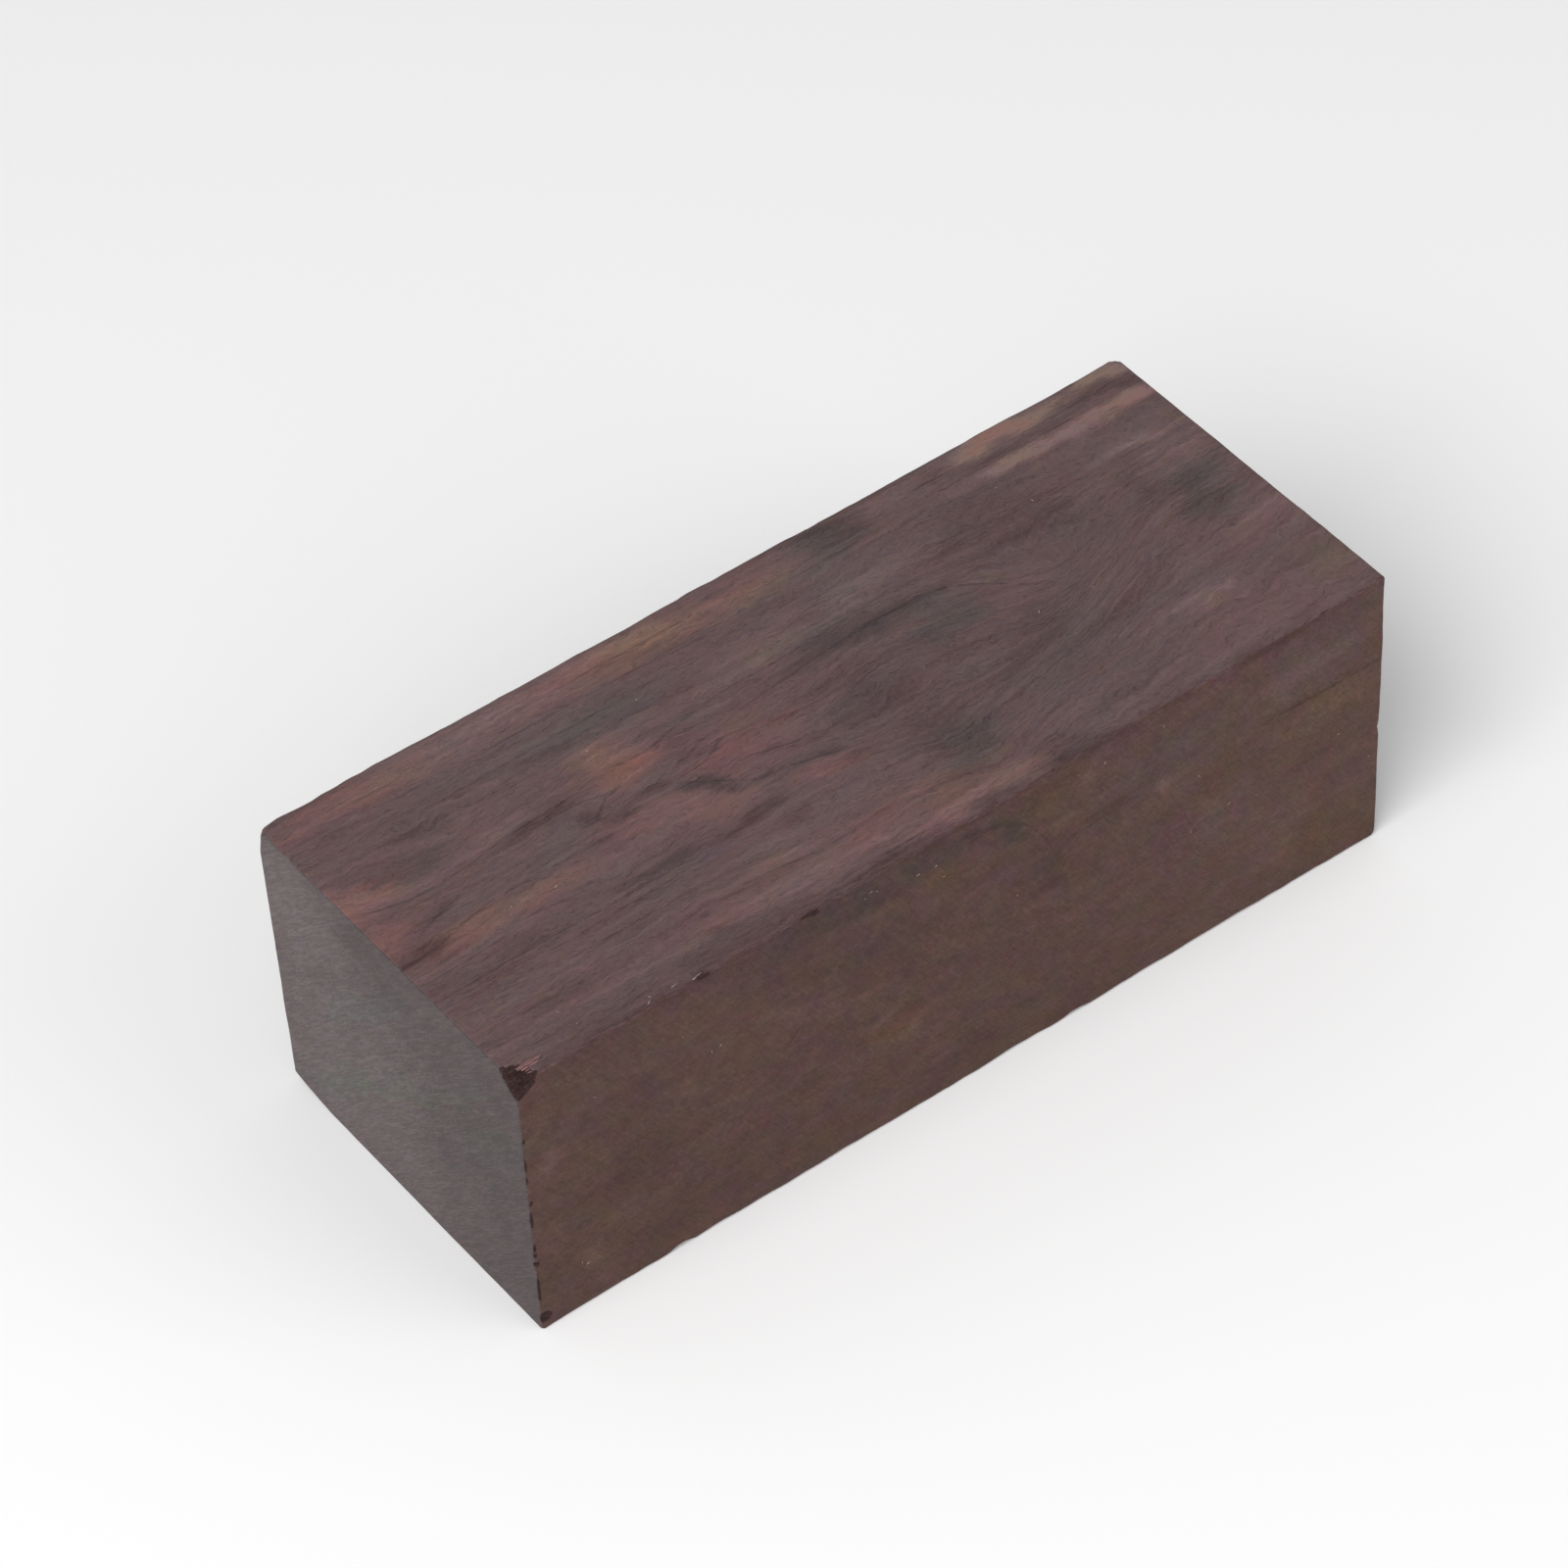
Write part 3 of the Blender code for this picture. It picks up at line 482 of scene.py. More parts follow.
# The noises of each surface: the size of a lump along each axis, the detail, the roughness, the shift that
# keeps the noise apart from the others and, for one that runs aslant, its turn in degrees
NOISES = {
    "waver": {
        "slow": ((7, 2.5, 5), 2, 0.55, 0),
        "quick": ((2.4, 1.3, 2), 2, 0.55, 91),
    },
    "grain": {
        "band": ((40, 3.2, 20), 2, 0.55, 0),
        "streak": ((14, 0.9, 10), 3, 0.6, 3),
        "line": ((7, 0.42, 5), 2, 0.5, 5),
        "fine": ((1.5, 0.28, 1), 3, 0.6, 7),
        "speck": ((0.34, 0.22, 0.3), 2, 0.6, 11),
        "patchy": ((4, 1.1, 4), 3, 0.6, 17),
        "pore": ((1.3, 0.15, 0.8), 1, 0.5, 23),
        "vein": ((2.2, 0.6, 2), 3, 0.65, 29),
        "red": ((7, 1.8, 4), 3, 0.6, 19),
        "yellow": ((5, 2, 4), 3, 0.6, 13),
    },
    "side": {
        "cloud": ((16, 8, 8), 3, 0.55, 31),
        "blotch": ((3.5, 2.4, 3), 3, 0.6, 37),
        "mottle": ((0.8, 0.6, 0.6), 4, 0.7, 41),
        "speck": ((0.28, 0.24, 0.3), 2, 0.6, 42),
        "grain": ((30, 0.9, 5), 2, 0.55, 43),
        "stroke": ((2.2, 0.28, 1), 2, 0.5, 47, 57),
        "vein": ((1.6, 0.8, 1), 2, 0.5, 53),
        "red": ((4, 3.5, 3), 3, 0.6, 44),
        "yellow": ((4.5, 2.8, 3), 3, 0.6, 45, 50),
    },
    "end": {
        "cloud": ((7, 4, 9), 3, 0.55, 59),
        "long_mark": ((5, 0.6, 2), 2, 0.5, 61),
        "mark": ((1.9, 0.26, 2), 2, 0.5, 67),
        "speck": ((0.3, 0.24, 0.3), 2, 0.6, 71),
        "red": ((2.4, 0.9, 2), 3, 0.6, 61.5),
        "yellow": ((2.4, 1.1, 2), 3, 0.6, 59.5),
    },
    "broken": {"torn": ((1.8, 0.22, 0.25), 3, 0.65, 73)},
    "fibre": {"streak": ((1.5, 0.12, 0.12), 2, 0.55, 0)},
    "join": {"ragged": ((1.2, 0.5, 0.5), 3, 0.6, 83)},
}
NOISE_SHIFT = (1, 1.7, 0.6)

# How much each noise, pore or vein changes the tone, the hues and the height in mm of a surface
AMOUNTS = {
    "grain": {
        "tone": {
            "band": 0.55, "streak": 1, "line": 1, "fine": 0.7, "speck": 0.8, "pore": -0.28, "vein": -0.45,
        },
        "red": {"red": 2.6, "vein": -0.4},
        "yellow": {"yellow": 2.2},
        "height": {"fine": 0.04, "speck": 0.03, "pore": -0.04, "vein": -0.03},
    },
    "side": {
        "tone": {
            "cloud": 0.8, "blotch": 1.2, "mottle": 1.9, "speck": 1.4, "grain": 0.4,
            "stroke": 0.9, "vein": -0.5,
        },
        "red": {"red": 3.4},
        "yellow": {"yellow": 6},
        "height": {"mottle": 0.1, "stroke": 0.04, "vein": -0.04},
    },
    "end": {
        "tone": {"cloud": 0.9, "long_mark": 1.1, "mark": 2.7, "speck": 2.1},
        "red": {"red": 3},
        "yellow": {"yellow": 3.2},
        "height": {"mark": 0.04, "speck": 0.03},
    },
    "broken": {"tone": {"torn": 3.4}, "height": {"torn": 0.25}},
}
MARKS = ("pore", "vein")  # these lie at 0 where there are none, and the noises lie round the middle of 0 to 1
WAVER = {"slow": 1.2, "quick": 1.5}  # how far the grain's lines sway, in mm
FIBRE_HEIGHT = 0.05
RAGGED_JOIN = 0.9  # how far the join of the long grain and the sawn side strays

# Roughness: the noise that it follows, how far and from which lowest value
ROUGHNESS = {
    "grain": ("fine", 0.2, 0.45),
    "side": ("mottle", 0.2, 0.5),
    "end": ("mark", 0.15, 0.42),
    "broken": ("torn", 0.1, 0.7),
    "fibre": ("streak", 0.2, 0.55),
}
SPECULAR = 0.15

# How the noises break up the tone, red and yellow patches of the long grain, in the same form
BREAK_UP = (("patchy", 1.6, 0.45), ("patchy", 1.5, 0.45), ("streak", 1.2, 0.4))
SIDE_CONTRAST = 1.3  # how much more strongly the tone patches show on the sawn sides
VEIN_WOBBLE = {"grain": 4, "side": 2}  # how far a vein's borders stray, in half-widths

# The values between which something starts to show and shows in full
PORE_EDGE = (0.62, 0.74)
SIDE_EDGE = (0.3, 0.7)
BROKEN_AND_SHADED_EDGE = (0.1, 0.45)
FIBRE_EDGE = (0.35, 0.65)

# Seeds of the noise that is worked out for the mesh, and the factors that scatter it
SEEDS = {
    "softness": 3, "wander": 11, "chip": 21, "grain": 40, "broad": 50, "narrow": 60, "patch": 70, "fibre": 80,
}
SCATTER_FACTORS = (73856093, 19349663, 83492791, 2654435761)
SCATTER_ROUNDS = ((13, 1274126177), (15, 2246822519))
SCATTER_MASK = 0x7FFFFFFF


def value_noise(points, seed):
    """Smooth noise from -1 to 1, with one lump to each unit of the points."""
    cell = np.floor(points).astype(np.int64)
    part = points - cell
    part = part * part * (3 - 2 * part)
    total = np.zeros(len(points))
    for corner in itertools.product((0, 1), repeat=3):
        mixed = seed * SCATTER_FACTORS[3]
        for axis in range(3):
            mixed = mixed ^ ((cell[:, axis] + corner[axis]) * SCATTER_FACTORS[axis])
        for shift, factor in SCATTER_ROUNDS:
            mixed = ((mixed ^ (mixed >> shift)) * factor) & SCATTER_MASK
        weight = np.prod(np.where(np.array(corner) == 1, part, 1 - part), axis=1)
        total += weight * (mixed / (SCATTER_MASK // 2) - 1)
    return total


def smooth_step(value, low, high):
    """0 below low, 1 above high, and a smooth rise between."""
    share = np.clip((value - low) / (high - low), 0, 1)
    return share * share * (3 - 2 * share)


def curve_through(points, where):
    """The height, at each place along, of a smooth curve through given points."""
    along, height = np.array(points, dtype=float).T
    slope = np.gradient(height, along)
    index = np.clip(np.searchsorted(along, where) - 1, 0, len(along) - 2)
    span = along[index + 1] - along[index]
    t = np.clip((where - along[index]) / span, 0, 1)
    start = (1 + 2 * t) * (1 - t) ** 2 * height[index] + t * (1 - t) ** 2 * span * slope[index]
    end = t**2 * (3 - 2 * t) * height[index + 1] + t**2 * (t - 1) * span * slope[index + 1]
    return start + end


def grain_level(grain, along, across):
    """Which line of the grain each place is on, between the lines given."""
    levels = np.array([level for level, _ in grain])
    heights = [curve_through(points, along) for _, points in grain]
    for row in range(1, len(heights)):
        heights[row] = np.minimum(heights[row], heights[row - 1] - GRAIN_GAP)
    heights = np.array(heights)
    index = np.clip(np.sum(heights > across, axis=0) - 1, 0, len(levels) - 2)
    column = np.arange(len(along))
    high, low = heights[index, column], heights[index + 1, column]
    share = (across - low) / (high - low)
    return levels[index + 1] + share * (levels[index] - levels[index + 1])


def patch_cover(patches, along, across):
    """The sum of soft-edged ellipses, each with its own strength."""
    place = np.stack([along / PATCH_WAVE[0], across / PATCH_WAVE[1], np.zeros(len(along))], axis=1)
    finer, share = PATCH_NIBBLES
    seeds = (SEEDS["patch"], SEEDS["patch"] + 2)
    bays = [value_noise(place, seed) + share * value_noise(place * finer, seed + 1) for seed in seeds]
    along = along + PATCH_STRAY[0] * bays[0]
    across = across + PATCH_STRAY[1] * bays[1]
    total = np.zeros(len(along))
    for centre_along, centre_across, radius_along, radius_across, strength, *slant in patches:
        turn = math.radians(sum(slant))
        shift_along, shift_across = along - centre_along, across - centre_across
        first = (math.cos(turn) * shift_along + math.sin(turn) * shift_across) / radius_along
        second = (math.cos(turn) * shift_across - math.sin(turn) * shift_along) / radius_across
        total += strength * smooth_step(-np.hypot(first, second), -PATCH_EDGE[0], -PATCH_EDGE[1])
    return total


def vein_distances(groups, along, across):
    """How far above and below the nearest vein of each group a place is, in half-widths of the vein."""
    above = np.full((len(along), len(groups)), VEIN_FAR)
    below = above.copy()
    for column, veins in enumerate(groups):
        for half_width, faintness, points in veins:
            first, last = points[0][0], points[-1][0]
            height = curve_through(points, np.clip(along, first, last))
            past_end = faintness + np.maximum(np.maximum(first - along, along - last), 0) / VEIN_TAPER
            distance = (across - height) / half_width
            nearer = np.abs(distance) + past_end < np.maximum(above[:, column], below[:, column])
            above[nearer, column] = (distance + past_end)[nearer]
            below[nearer, column] = (past_end - distance)[nearer]
    return above, below


def face_look(name, place):
    """What the material needs to know at each point of a face: grain, tone, hues and veins."""
    x, y, z = place.T
    patches, veins, grain = FACE_LOOKS[name]
    if name in ("top", "foot"):
        along, across = x, y
        level = grain_level(grain, along, across)
        for number, (height, waves) in enumerate(GRAIN_WIGGLES):
            level = level + height * value_noise(place / np.array(waves), SEEDS["grain"] + number)
        figure = np.stack([x, level, z], axis=1)
    elif name in ("front", "back"):
        along, across = x, z
        figure = np.stack([x, z, y], axis=1)
    else:
        along, across = (y, z) if name == "near" else (-y, z)
        cosine, sine = math.cos(SANDING_SLOPE), math.sin(SANDING_SLOPE)
        figure = np.stack([cosine * along - sine * across, sine * along + cosine * across, x], axis=1)
    above, below = vein_distances(veins, along, across)
    look = [patch_cover(patches[kind], along, across) for kind in HUES]
    return {"figure": figure, "look": np.stack(look, axis=1), "above": above, "below": below}


def mesh_lines(length, step):
    """Where the mesh is divided along one side, as shares of it: fine near the ends."""
    place = np.linspace(0, length, STEP_SAMPLES)
    from_end = np.clip(np.minimum(place, length - place) / FINE_MARGIN, 0, 1)
    spacing = FINE_STEP + (step - FINE_STEP) * from_end
    count = np.concatenate(([0.0], np.cumsum(np.diff(place) / spacing[1:])))
    return np.interp(np.linspace(0, count[-1], round(count[-1]) + 1), count, place) / length


def sawn(share):
    """Places on the block as sawn, from shares 0 to 1 of its length, width and height."""
    along, across, up = share.T
    near = NEAR_LEAN * up
    far = LENGTH - FAR_LEAN * (1 - up) - FAR_SKEW * (1 - across)
    half_width = (WIDTH - FOOT_NARROWING * (1 - up) - FAR_NARROWING * along * up) / 2
    height = HEIGHT - NEAR_DROP * (1 - along)
    x = near + (far - near) * along - LENGTH / 2
    return np.stack([x, half_width * (2 * across - 1), height * up], axis=1)


def eased(share):
    """The shares after the edges are rounded, most of all at the one worn corner."""
    place = share * SIZE
    usual, varies = SOFTNESS
    variation = value_noise(place / SOFTNESS_WAVE, SEEDS["softness"])
    softness = smooth_step(place[:, 0], 0, CRISP_REACH) * (usual + varies * variation)
    from_firm = smooth_step(np.minimum(LENGTH - place[:, 0], place[:, 2]), 0, CRISP_REACH)
    softness = softness * (FIRM_EDGE + (1 - FIRM_EDGE) * from_firm)
    to_corner = np.linalg.norm(place - np.array([0, WIDTH, HEIGHT]), axis=1)
    worn_corner = WORN_CORNER * smooth_step(-to_corner, -WORN_CORNER_REACH, 0)
    radius = np.maximum(CRISP_EDGE + (SOFT_EDGE - CRISP_EDGE) * softness, worn_corner)[:, None]
    inner = np.clip(place, radius, SIZE - radius)
    outwards = place - inner
    reach = np.linalg.norm(outwards, axis=1, keepdims=True)
    return (inner + outwards / reach * radius) / SIZE


def worn(share, place):
    """How far in each point moves: edges that stray in slow waves and short nibbles, and shallow hollows."""
    from_low = share * SIZE
    from_high = SIZE - from_low
    to_face = np.minimum(from_low, from_high)
    waves = 0.5
    for number, (length, strength) in enumerate(WANDER_WAVES):
        waves = waves + strength * value_noise(place / length, SEEDS["wander"] + number)
    waves = np.clip(waves, 0, 1)
    calm = END_CALM + (1 - END_CALM) * smooth_step(to_face[:, 0], 0, END_CALM_REACH)
    shift = np.zeros_like(place)
    for axis in range(3):
        others = [other for other in range(3) if other != axis]
        to_edge = np.min(to_face[:, others], axis=1)
        inwards = np.where(from_low[:, axis] < from_high[:, axis], 1.0, -1.0)
        on_face = smooth_step(-to_face[:, axis], -SOFT_EDGE, 0)
        on_foot = (axis == 2) & (inwards > 0)
        edge = np.where(on_foot, 0.0, WANDER * calm * waves * np.exp(-to_edge / WANDER_REACH))
        broad = 0.5 + 0.5 * value_noise(place / np.array(BROAD_WAVES[axis]), SEEDS["broad"] + axis)
        narrow = 0.5 + 0.5 * value_noise(place / np.array(NARROW_WAVES[axis]), SEEDS["narrow"] + axis)
        hollow = calm * (RELIEF[axis][0] * broad + RELIEF[axis][1] * narrow)
        shift[:, axis] = inwards * on_face * (edge + hollow)
    return shift


def wane(place):
    """The height of the foot where its near back corner is planed away."""
    height = WANE_HEIGHT * np.clip((place[:, 1] - WANE_START) / WANE_WIDTH, 0, 1) ** 2
    return height * np.clip(1 - (place[:, 0] + LENGTH / 2) / WANE_LENGTH, 0, 1)


def break_chips(place):
    """Takes the chips out of the block. Returns the new places and how far each lies in a chip, from 0 to 1,
    which is where the torn wood and its painted shade go.
    """
    broken = np.zeros(len(place))
    half = SIZE / 2
    middle = np.array([0, 0, HEIGHT / 2])
    grain = value_noise(place / np.array(CHIP_GRAIN), SEEDS["chip"])
    grain = grain + 0.5 * value_noise(place / CHIP_CRUMB, SEEDS["chip"] + 1)
    for centre, radii in CHIPS:
        centre, radii = np.array(centre), np.array(radii)
        offset = centre - middle
        inwards = np.where(np.abs(offset) > half - CHIP_REACH, -np.sign(offset), 0.0)
        inwards /= np.linalg.norm(inwards)
        local = (place - centre) / radii
        slope = inwards / radii
        a = slope @ slope
        b = local @ slope
        c = np.sum(local**2, axis=1) - 1
        depth = np.where(c < 0, (np.sqrt(np.maximum(b * b - a * c, 0)) - b) / a, 0)
        depth = np.maximum(depth * (1 + CHIP_ROUGHNESS * grain), 0)
        place = place + depth[:, None] * inwards
        broken = np.maximum(broken, smooth_step(depth, *BROKEN_AND_SHADED_DEPTHS))
    return place, broken


def edge_blend(share, surface):
    """How far a surface gives way to its neighbour towards a long edge: the ends stay apart from the rest."""
    if surface == CUT_END:
        return np.zeros(len(share))
    axis, sign = (1, 1) if surface == LONG_GRAIN else (2, -1)
    to_edge = np.minimum(share[:, axis], 1 - share[:, axis]) * SIZE[axis]
    return sign * 0.5 * (1 - smooth_step(to_edge, 0, EDGE_BLEND))


def face_grid(lines, axis, end):
    """The lattice of one face: the three line numbers of each of its points, and the corners of its quads."""
    first, second = [other for other in range(3) if other != axis]
    counts = len(lines[first]), len(lines[second])
    numbers = np.zeros(counts + (3,), dtype=np.int64)
    numbers[..., first], numbers[..., second] = np.indices(counts)
    numbers[..., axis] = end * (len(lines[axis]) - 1)
    index = np.arange(numbers[..., 0].size).reshape(counts)
    quads = np.stack([index[:-1, :-1], index[1:, :-1], index[1:, 1:], index[:-1, 1:]], axis=-1).reshape(-1, 4)
    counter_clockwise = (end == 1) != (axis == 1)
    return numbers.reshape(-1, 3), quads if counter_clockwise else quads[:, ::-1]


def add_values(mesh, name, domain, values):
    """Stores a number or a vector for each point or face corner of a mesh, for its material."""
    kind, field = ("FLOAT_VECTOR", "vector") if values.ndim == 2 else ("FLOAT", "value")
    layer = mesh.attributes.new(name, kind, domain)
    layer.data.foreach_set(field, np.ascontiguousarray(values, dtype=np.float32).ravel())


def new_object(name, points, faces, material):
    """A mesh object of the scene, from points in metres."""
    mesh = bpy.data.meshes.new(name)
    mesh.from_pydata(points, [], faces)
    mesh.materials.append(material)
    obj = bpy.data.objects.new(name, mesh)
    bpy.context.scene.collection.objects.link(obj)
    return obj


def build_block(material):
    """The block as one closed mesh, with what its material needs to know at each corner of its faces."""
    lines = [mesh_lines(LENGTH, LENGTH_STEP), mesh_lines(WIDTH, CROSS_STEP), mesh_lines(HEIGHT, CROSS_STEP)]
    grids = {name: face_grid(lines, axis, end) for name, (axis, end, _, _) in FACES.items()}
    every_number = np.concatenate([numbers for numbers, _ in grids.values()])
    unique, to_vertex = np.unique(every_number, axis=0, return_inverse=True)
    to_vertex = to_vertex.reshape(-1)
    share = np.stack([lines[axis][unique[:, axis]] for axis in range(3)], axis=1)

    place = sawn(eased(share))
    place = place + worn(share, place)
    place[:, 2] = np.maximum(place[:, 2], wane(place))
    place, broken = break_chips(place)
    place[:, 2] = np.maximum(place[:, 2], 0)

    unworn = sawn(share)
    quads = []
    values = {name: [] for name in ("figure", "look", "above", "below", "surface", "map")}
    start = 0
    for name, (axis, _, surface, offset) in FACES.items():
        numbers, face_quads = grids[name]
        vertex = to_vertex[start:start + len(numbers)]
        start += len(numbers)
        quads.append(vertex[face_quads])
        local = unworn[vertex]
        look = face_look(name, local)
        look["surface"] = surface + edge_blend(share[vertex], surface)
        flat = [other for other in range(3) if other != axis]
        from_corner = (local + [LENGTH / 2, WIDTH / 2, 0])[:, flat]
        look["map"] = (from_corner + np.array(offset) + MAP_MARGIN) / MAP_SIZE
        for key, held in look.items():
            values[key].append(held[face_quads].reshape(-1, *held.shape[1:]))

    block = new_object("dressed_block", (place * MM).tolist(), np.concatenate(quads).tolist(), material)
    layer = block.data.uv_layers.new(name="OFBake")
    layer.data.foreach_set("uv", np.concatenate(values.pop("map")).ravel())
    for key, held in values.items():
        add_values(block.data, key, "CORNER", np.concatenate(held))
    add_values(block.data, "broken", "POINT", broken)
    block.data.shade_smooth()
    return block


class Nodes:
    """The nodes of one material. Each call adds a node and returns the socket with its result."""

    def __init__(self, name):
        self.material = bpy.data.materials.new(name)
        self.material.use_nodes = True
        self.tree = self.material.node_tree
        self.shader = self.tree.nodes["Principled BSDF"]

    def feed(self, socket, value):
        """Links another node's result to a socket, or sets the socket to a plain value."""
        if isinstance(value, bpy.types.NodeSocket):
            self.tree.links.new(value, socket)
        else:
            socket.default_value = value

    def add(self, kind, inputs, output=0, **settings):
        node = self.tree.nodes.new(kind)
        for key, value in settings.items():
            setattr(node, key, value)
        for key, value in inputs.items():
            self.feed(node.inputs[key], value)
        return node.outputs[output]

    def math(self, operation, first, second=0.0, third=0.0):
        inputs = {0: first, 1: second, 2: third}
        return self.add("ShaderNodeMath", inputs, operation=operation)

    def vector(self, operation, first, second=(0, 0, 0), third=(0, 0, 0)):
        inputs = {0: first, 1: second, 2: third}
        return self.add("ShaderNodeVectorMath", inputs, operation=operation)

    def attribute(self, name, output="Fac"):
        return self.add("ShaderNodeAttribute", {}, output, attribute_name=name)

    def place_in_mm(self):
        """Where each point is on the object itself."""
        place = self.add("ShaderNodeTexCoord", {}, "Object")
        return self.vector("MULTIPLY", place, (1 / MM, 1 / MM, 1 / MM))

    def parts(self, vector):
        """The three numbers of a vector."""
        x = self.add("ShaderNodeSeparateXYZ", {0: vector})
        return x.node.outputs[0], x.node.outputs[1], x.node.outputs[2]

    def noise(self, where, lump, detail, roughness, shift, turn=0):
        """Noise from 0 to 1 whose lumps have the given size along each axis, in mm."""
        if turn:
            where = self.add("ShaderNodeMapping", {0: where, 2: (0, 0, math.radians(turn))})
        scale = tuple(1.0 / size for size in lump)
        moved = self.vector("MULTIPLY_ADD", where, scale, tuple(shift * part for part in NOISE_SHIFT))
        inputs = {"Vector": moved, "Scale": 1.0, "Detail": detail, "Roughness": roughness}
        return self.add("ShaderNodeTexNoise", inputs)

    def noises(self, name, where):
        """All the noises of a surface, by name."""
        return {key: self.noise(where, *settings) for key, settings in NOISES[name].items()}

    def swing(self, noise, amount):
        """Noise brought round zero and scaled."""
        return self.math("MULTIPLY_ADD", noise, amount, -amount / 2)

    def total(self, noises, amounts, first=None):
        """The sum of a first value and the noises and marks that have an amount, each scaled by it."""
        result = first
        for key, amount in amounts.items():
            held = noises[key]
            scaled = self.math("MULTIPLY", held, amount) if key in MARKS else self.swing(held, amount)
            result = scaled if result is None else self.math("ADD", result, scaled)
        return result

    def rise(self, value, low, high):
        """0 below low, 1 above high, smooth between. Low may be the greater of the two."""
        inputs = {"Value": value, "From Min": low, "From Max": high, "To Min": 0.0, "To Max": 1.0}
        return self.add("ShaderNodeMapRange", inputs, interpolation_type="SMOOTHSTEP")

    def mix(self, share, first, second):
        """Between two colours."""
        inputs = {0: share, 6: first, 7: second}
        return self.add("ShaderNodeMix", inputs, 2, data_type="RGBA")

    def blend(self, share, first, second):
        """Between two numbers."""
        inputs = {0: share, 2: first, 3: second}
        return self.add("ShaderNodeMix", inputs, 0, data_type="FLOAT")

    def colours(self, tone, name):
        """The colour of a surface at a tone from -1 to 1."""
        share = self.math("MULTIPLY_ADD", tone, 0.5, 0.5)
        colour = self.add("ShaderNodeValToRGB", {0: share})
        stops = colour.node.color_ramp.elements
        shades = COLOURS[name]
        while len(stops) < len(shades):
            stops.new(0.5)
        for index, shade in enumerate(shades):
            stops[index].position = index / (len(shades) - 1)
            stops[index].color = linear(shade)
        return colour

    def rough(self, name, noises):
        """How rough a surface is, by the noise that its roughness follows."""
        key, amount, lowest = ROUGHNESS[name]
        return self.math("MULTIPLY_ADD", noises[key], amount, lowest)

    def dress(self, colour, roughness, height):
        """Gives the shader its colour, roughness and height in mm. Returns the material."""
        self.feed(self.shader.inputs["Base Color"], colour)
        self.feed(self.shader.inputs["Roughness"], roughness)
        bump = self.add("ShaderNodeBump", {"Height": height, "Distance": MM, "Strength": 1.0})
        self.feed(self.shader.inputs["Normal"], bump)
        return self.material


def linear(shade):
    """A colour in display values from 0 to 255, as Blender's linear colour, by the sRGB curve."""
    parts = [part / 255 for part in shade]
    return [part / 12.92 if part <= 0.04045 else ((part + 0.055) / 1.055) ** 2.4 for part in parts] + [1.0]


def vein_cover(nodes, name, noises):
    """How much of a vein lies at each place of a surface, from 0 to 1."""
    sides = nodes.vector("MAXIMUM", nodes.attribute("above", "Vector"), nodes.attribute("below", "Vector"))
    first, second, third = nodes.parts(sides)
    nearest = nodes.math("MINIMUM", nodes.math("MINIMUM", first, second), third)
    wobble = nodes.swing(noises["vein"], VEIN_WOBBLE[name])
    return nodes.rise(nodes.math("ADD", nearest, wobble), *VEIN_EDGE)


def surface_look(nodes, name, noises, patches):
    """The colour, the roughness and the height of a surface, from its noises and its patches."""
    kinds = zip(HUES, patches)
    tone, red, yellow = [nodes.total(noises, AMOUNTS[name][kind], patch) for kind, patch in kinds]
    change = nodes.vector("MULTIPLY_ADD", red, RED_SHIFT, (1, 1, 1))
    change = nodes.vector("MULTIPLY_ADD", yellow, YELLOW_SHIFT, change)
    colour = nodes.vector("MULTIPLY", nodes.colours(tone, name), change)
    return colour, nodes.rough(name, noises), nodes.total(noises, AMOUNTS[name]["height"])


def long_grain(nodes):
    """The two wide faces: short streaks, pores and veins along the grain, over patches of other hues."""
    place = nodes.attribute("figure", "Vector")
    sway = nodes.total(nodes.noises("waver", place), WAVER)
    place = nodes.vector("ADD", place, nodes.add("ShaderNodeCombineXYZ", {1: sway}))
    noises = nodes.noises("grain", place)
    noises["pore"] = nodes.rise(noises["pore"], *PORE_EDGE)
    noises["vein"] = vein_cover(nodes, "grain", noises)
    patches = []
    for patch, (key, amount, least) in zip(nodes.parts(nodes.attribute("look", "Vector")), BREAK_UP):
        patches.append(nodes.math("MULTIPLY", patch, nodes.math("MULTIPLY_ADD", noises[key], amount, least)))
    return surface_look(nodes, "grain", noises, patches)


def sawn_side(nodes):
    """The front and the back: sawn and rubbed, mottled all over, with cloudy hues and faint strokes."""
    noises = nodes.noises("side", nodes.attribute("figure", "Vector"))
    noises["vein"] = vein_cover(nodes, "side", noises)
    tone, red, yellow = nodes.parts(nodes.attribute("look", "Vector"))
    return surface_look(nodes, "side", noises, (nodes.math("MULTIPLY", tone, SIDE_CONTRAST), red, yellow))


def sanded_end_and_sheen(nodes):
    """The ends: fine end grain, grey partly from sanding dust and partly from a painted sheen, with short
    sanding marks that slope down towards the back.
    """
    noises = nodes.noises("end", nodes.attribute("figure", "Vector"))
    return surface_look(nodes, "end", noises, nodes.parts(nodes.attribute("look", "Vector")))


def broken_wood(nodes):
    """The torn fibres inside the chips: dark red-brown, darkened further by painted shade, with pale ends."""
    noises = nodes.noises("broken", nodes.place_in_mm())
    tone, height = (nodes.total(noises, AMOUNTS["broken"][kind]) for kind in ("tone", "height"))
    return nodes.colours(tone, "broken"), nodes.rough("broken", noises), height


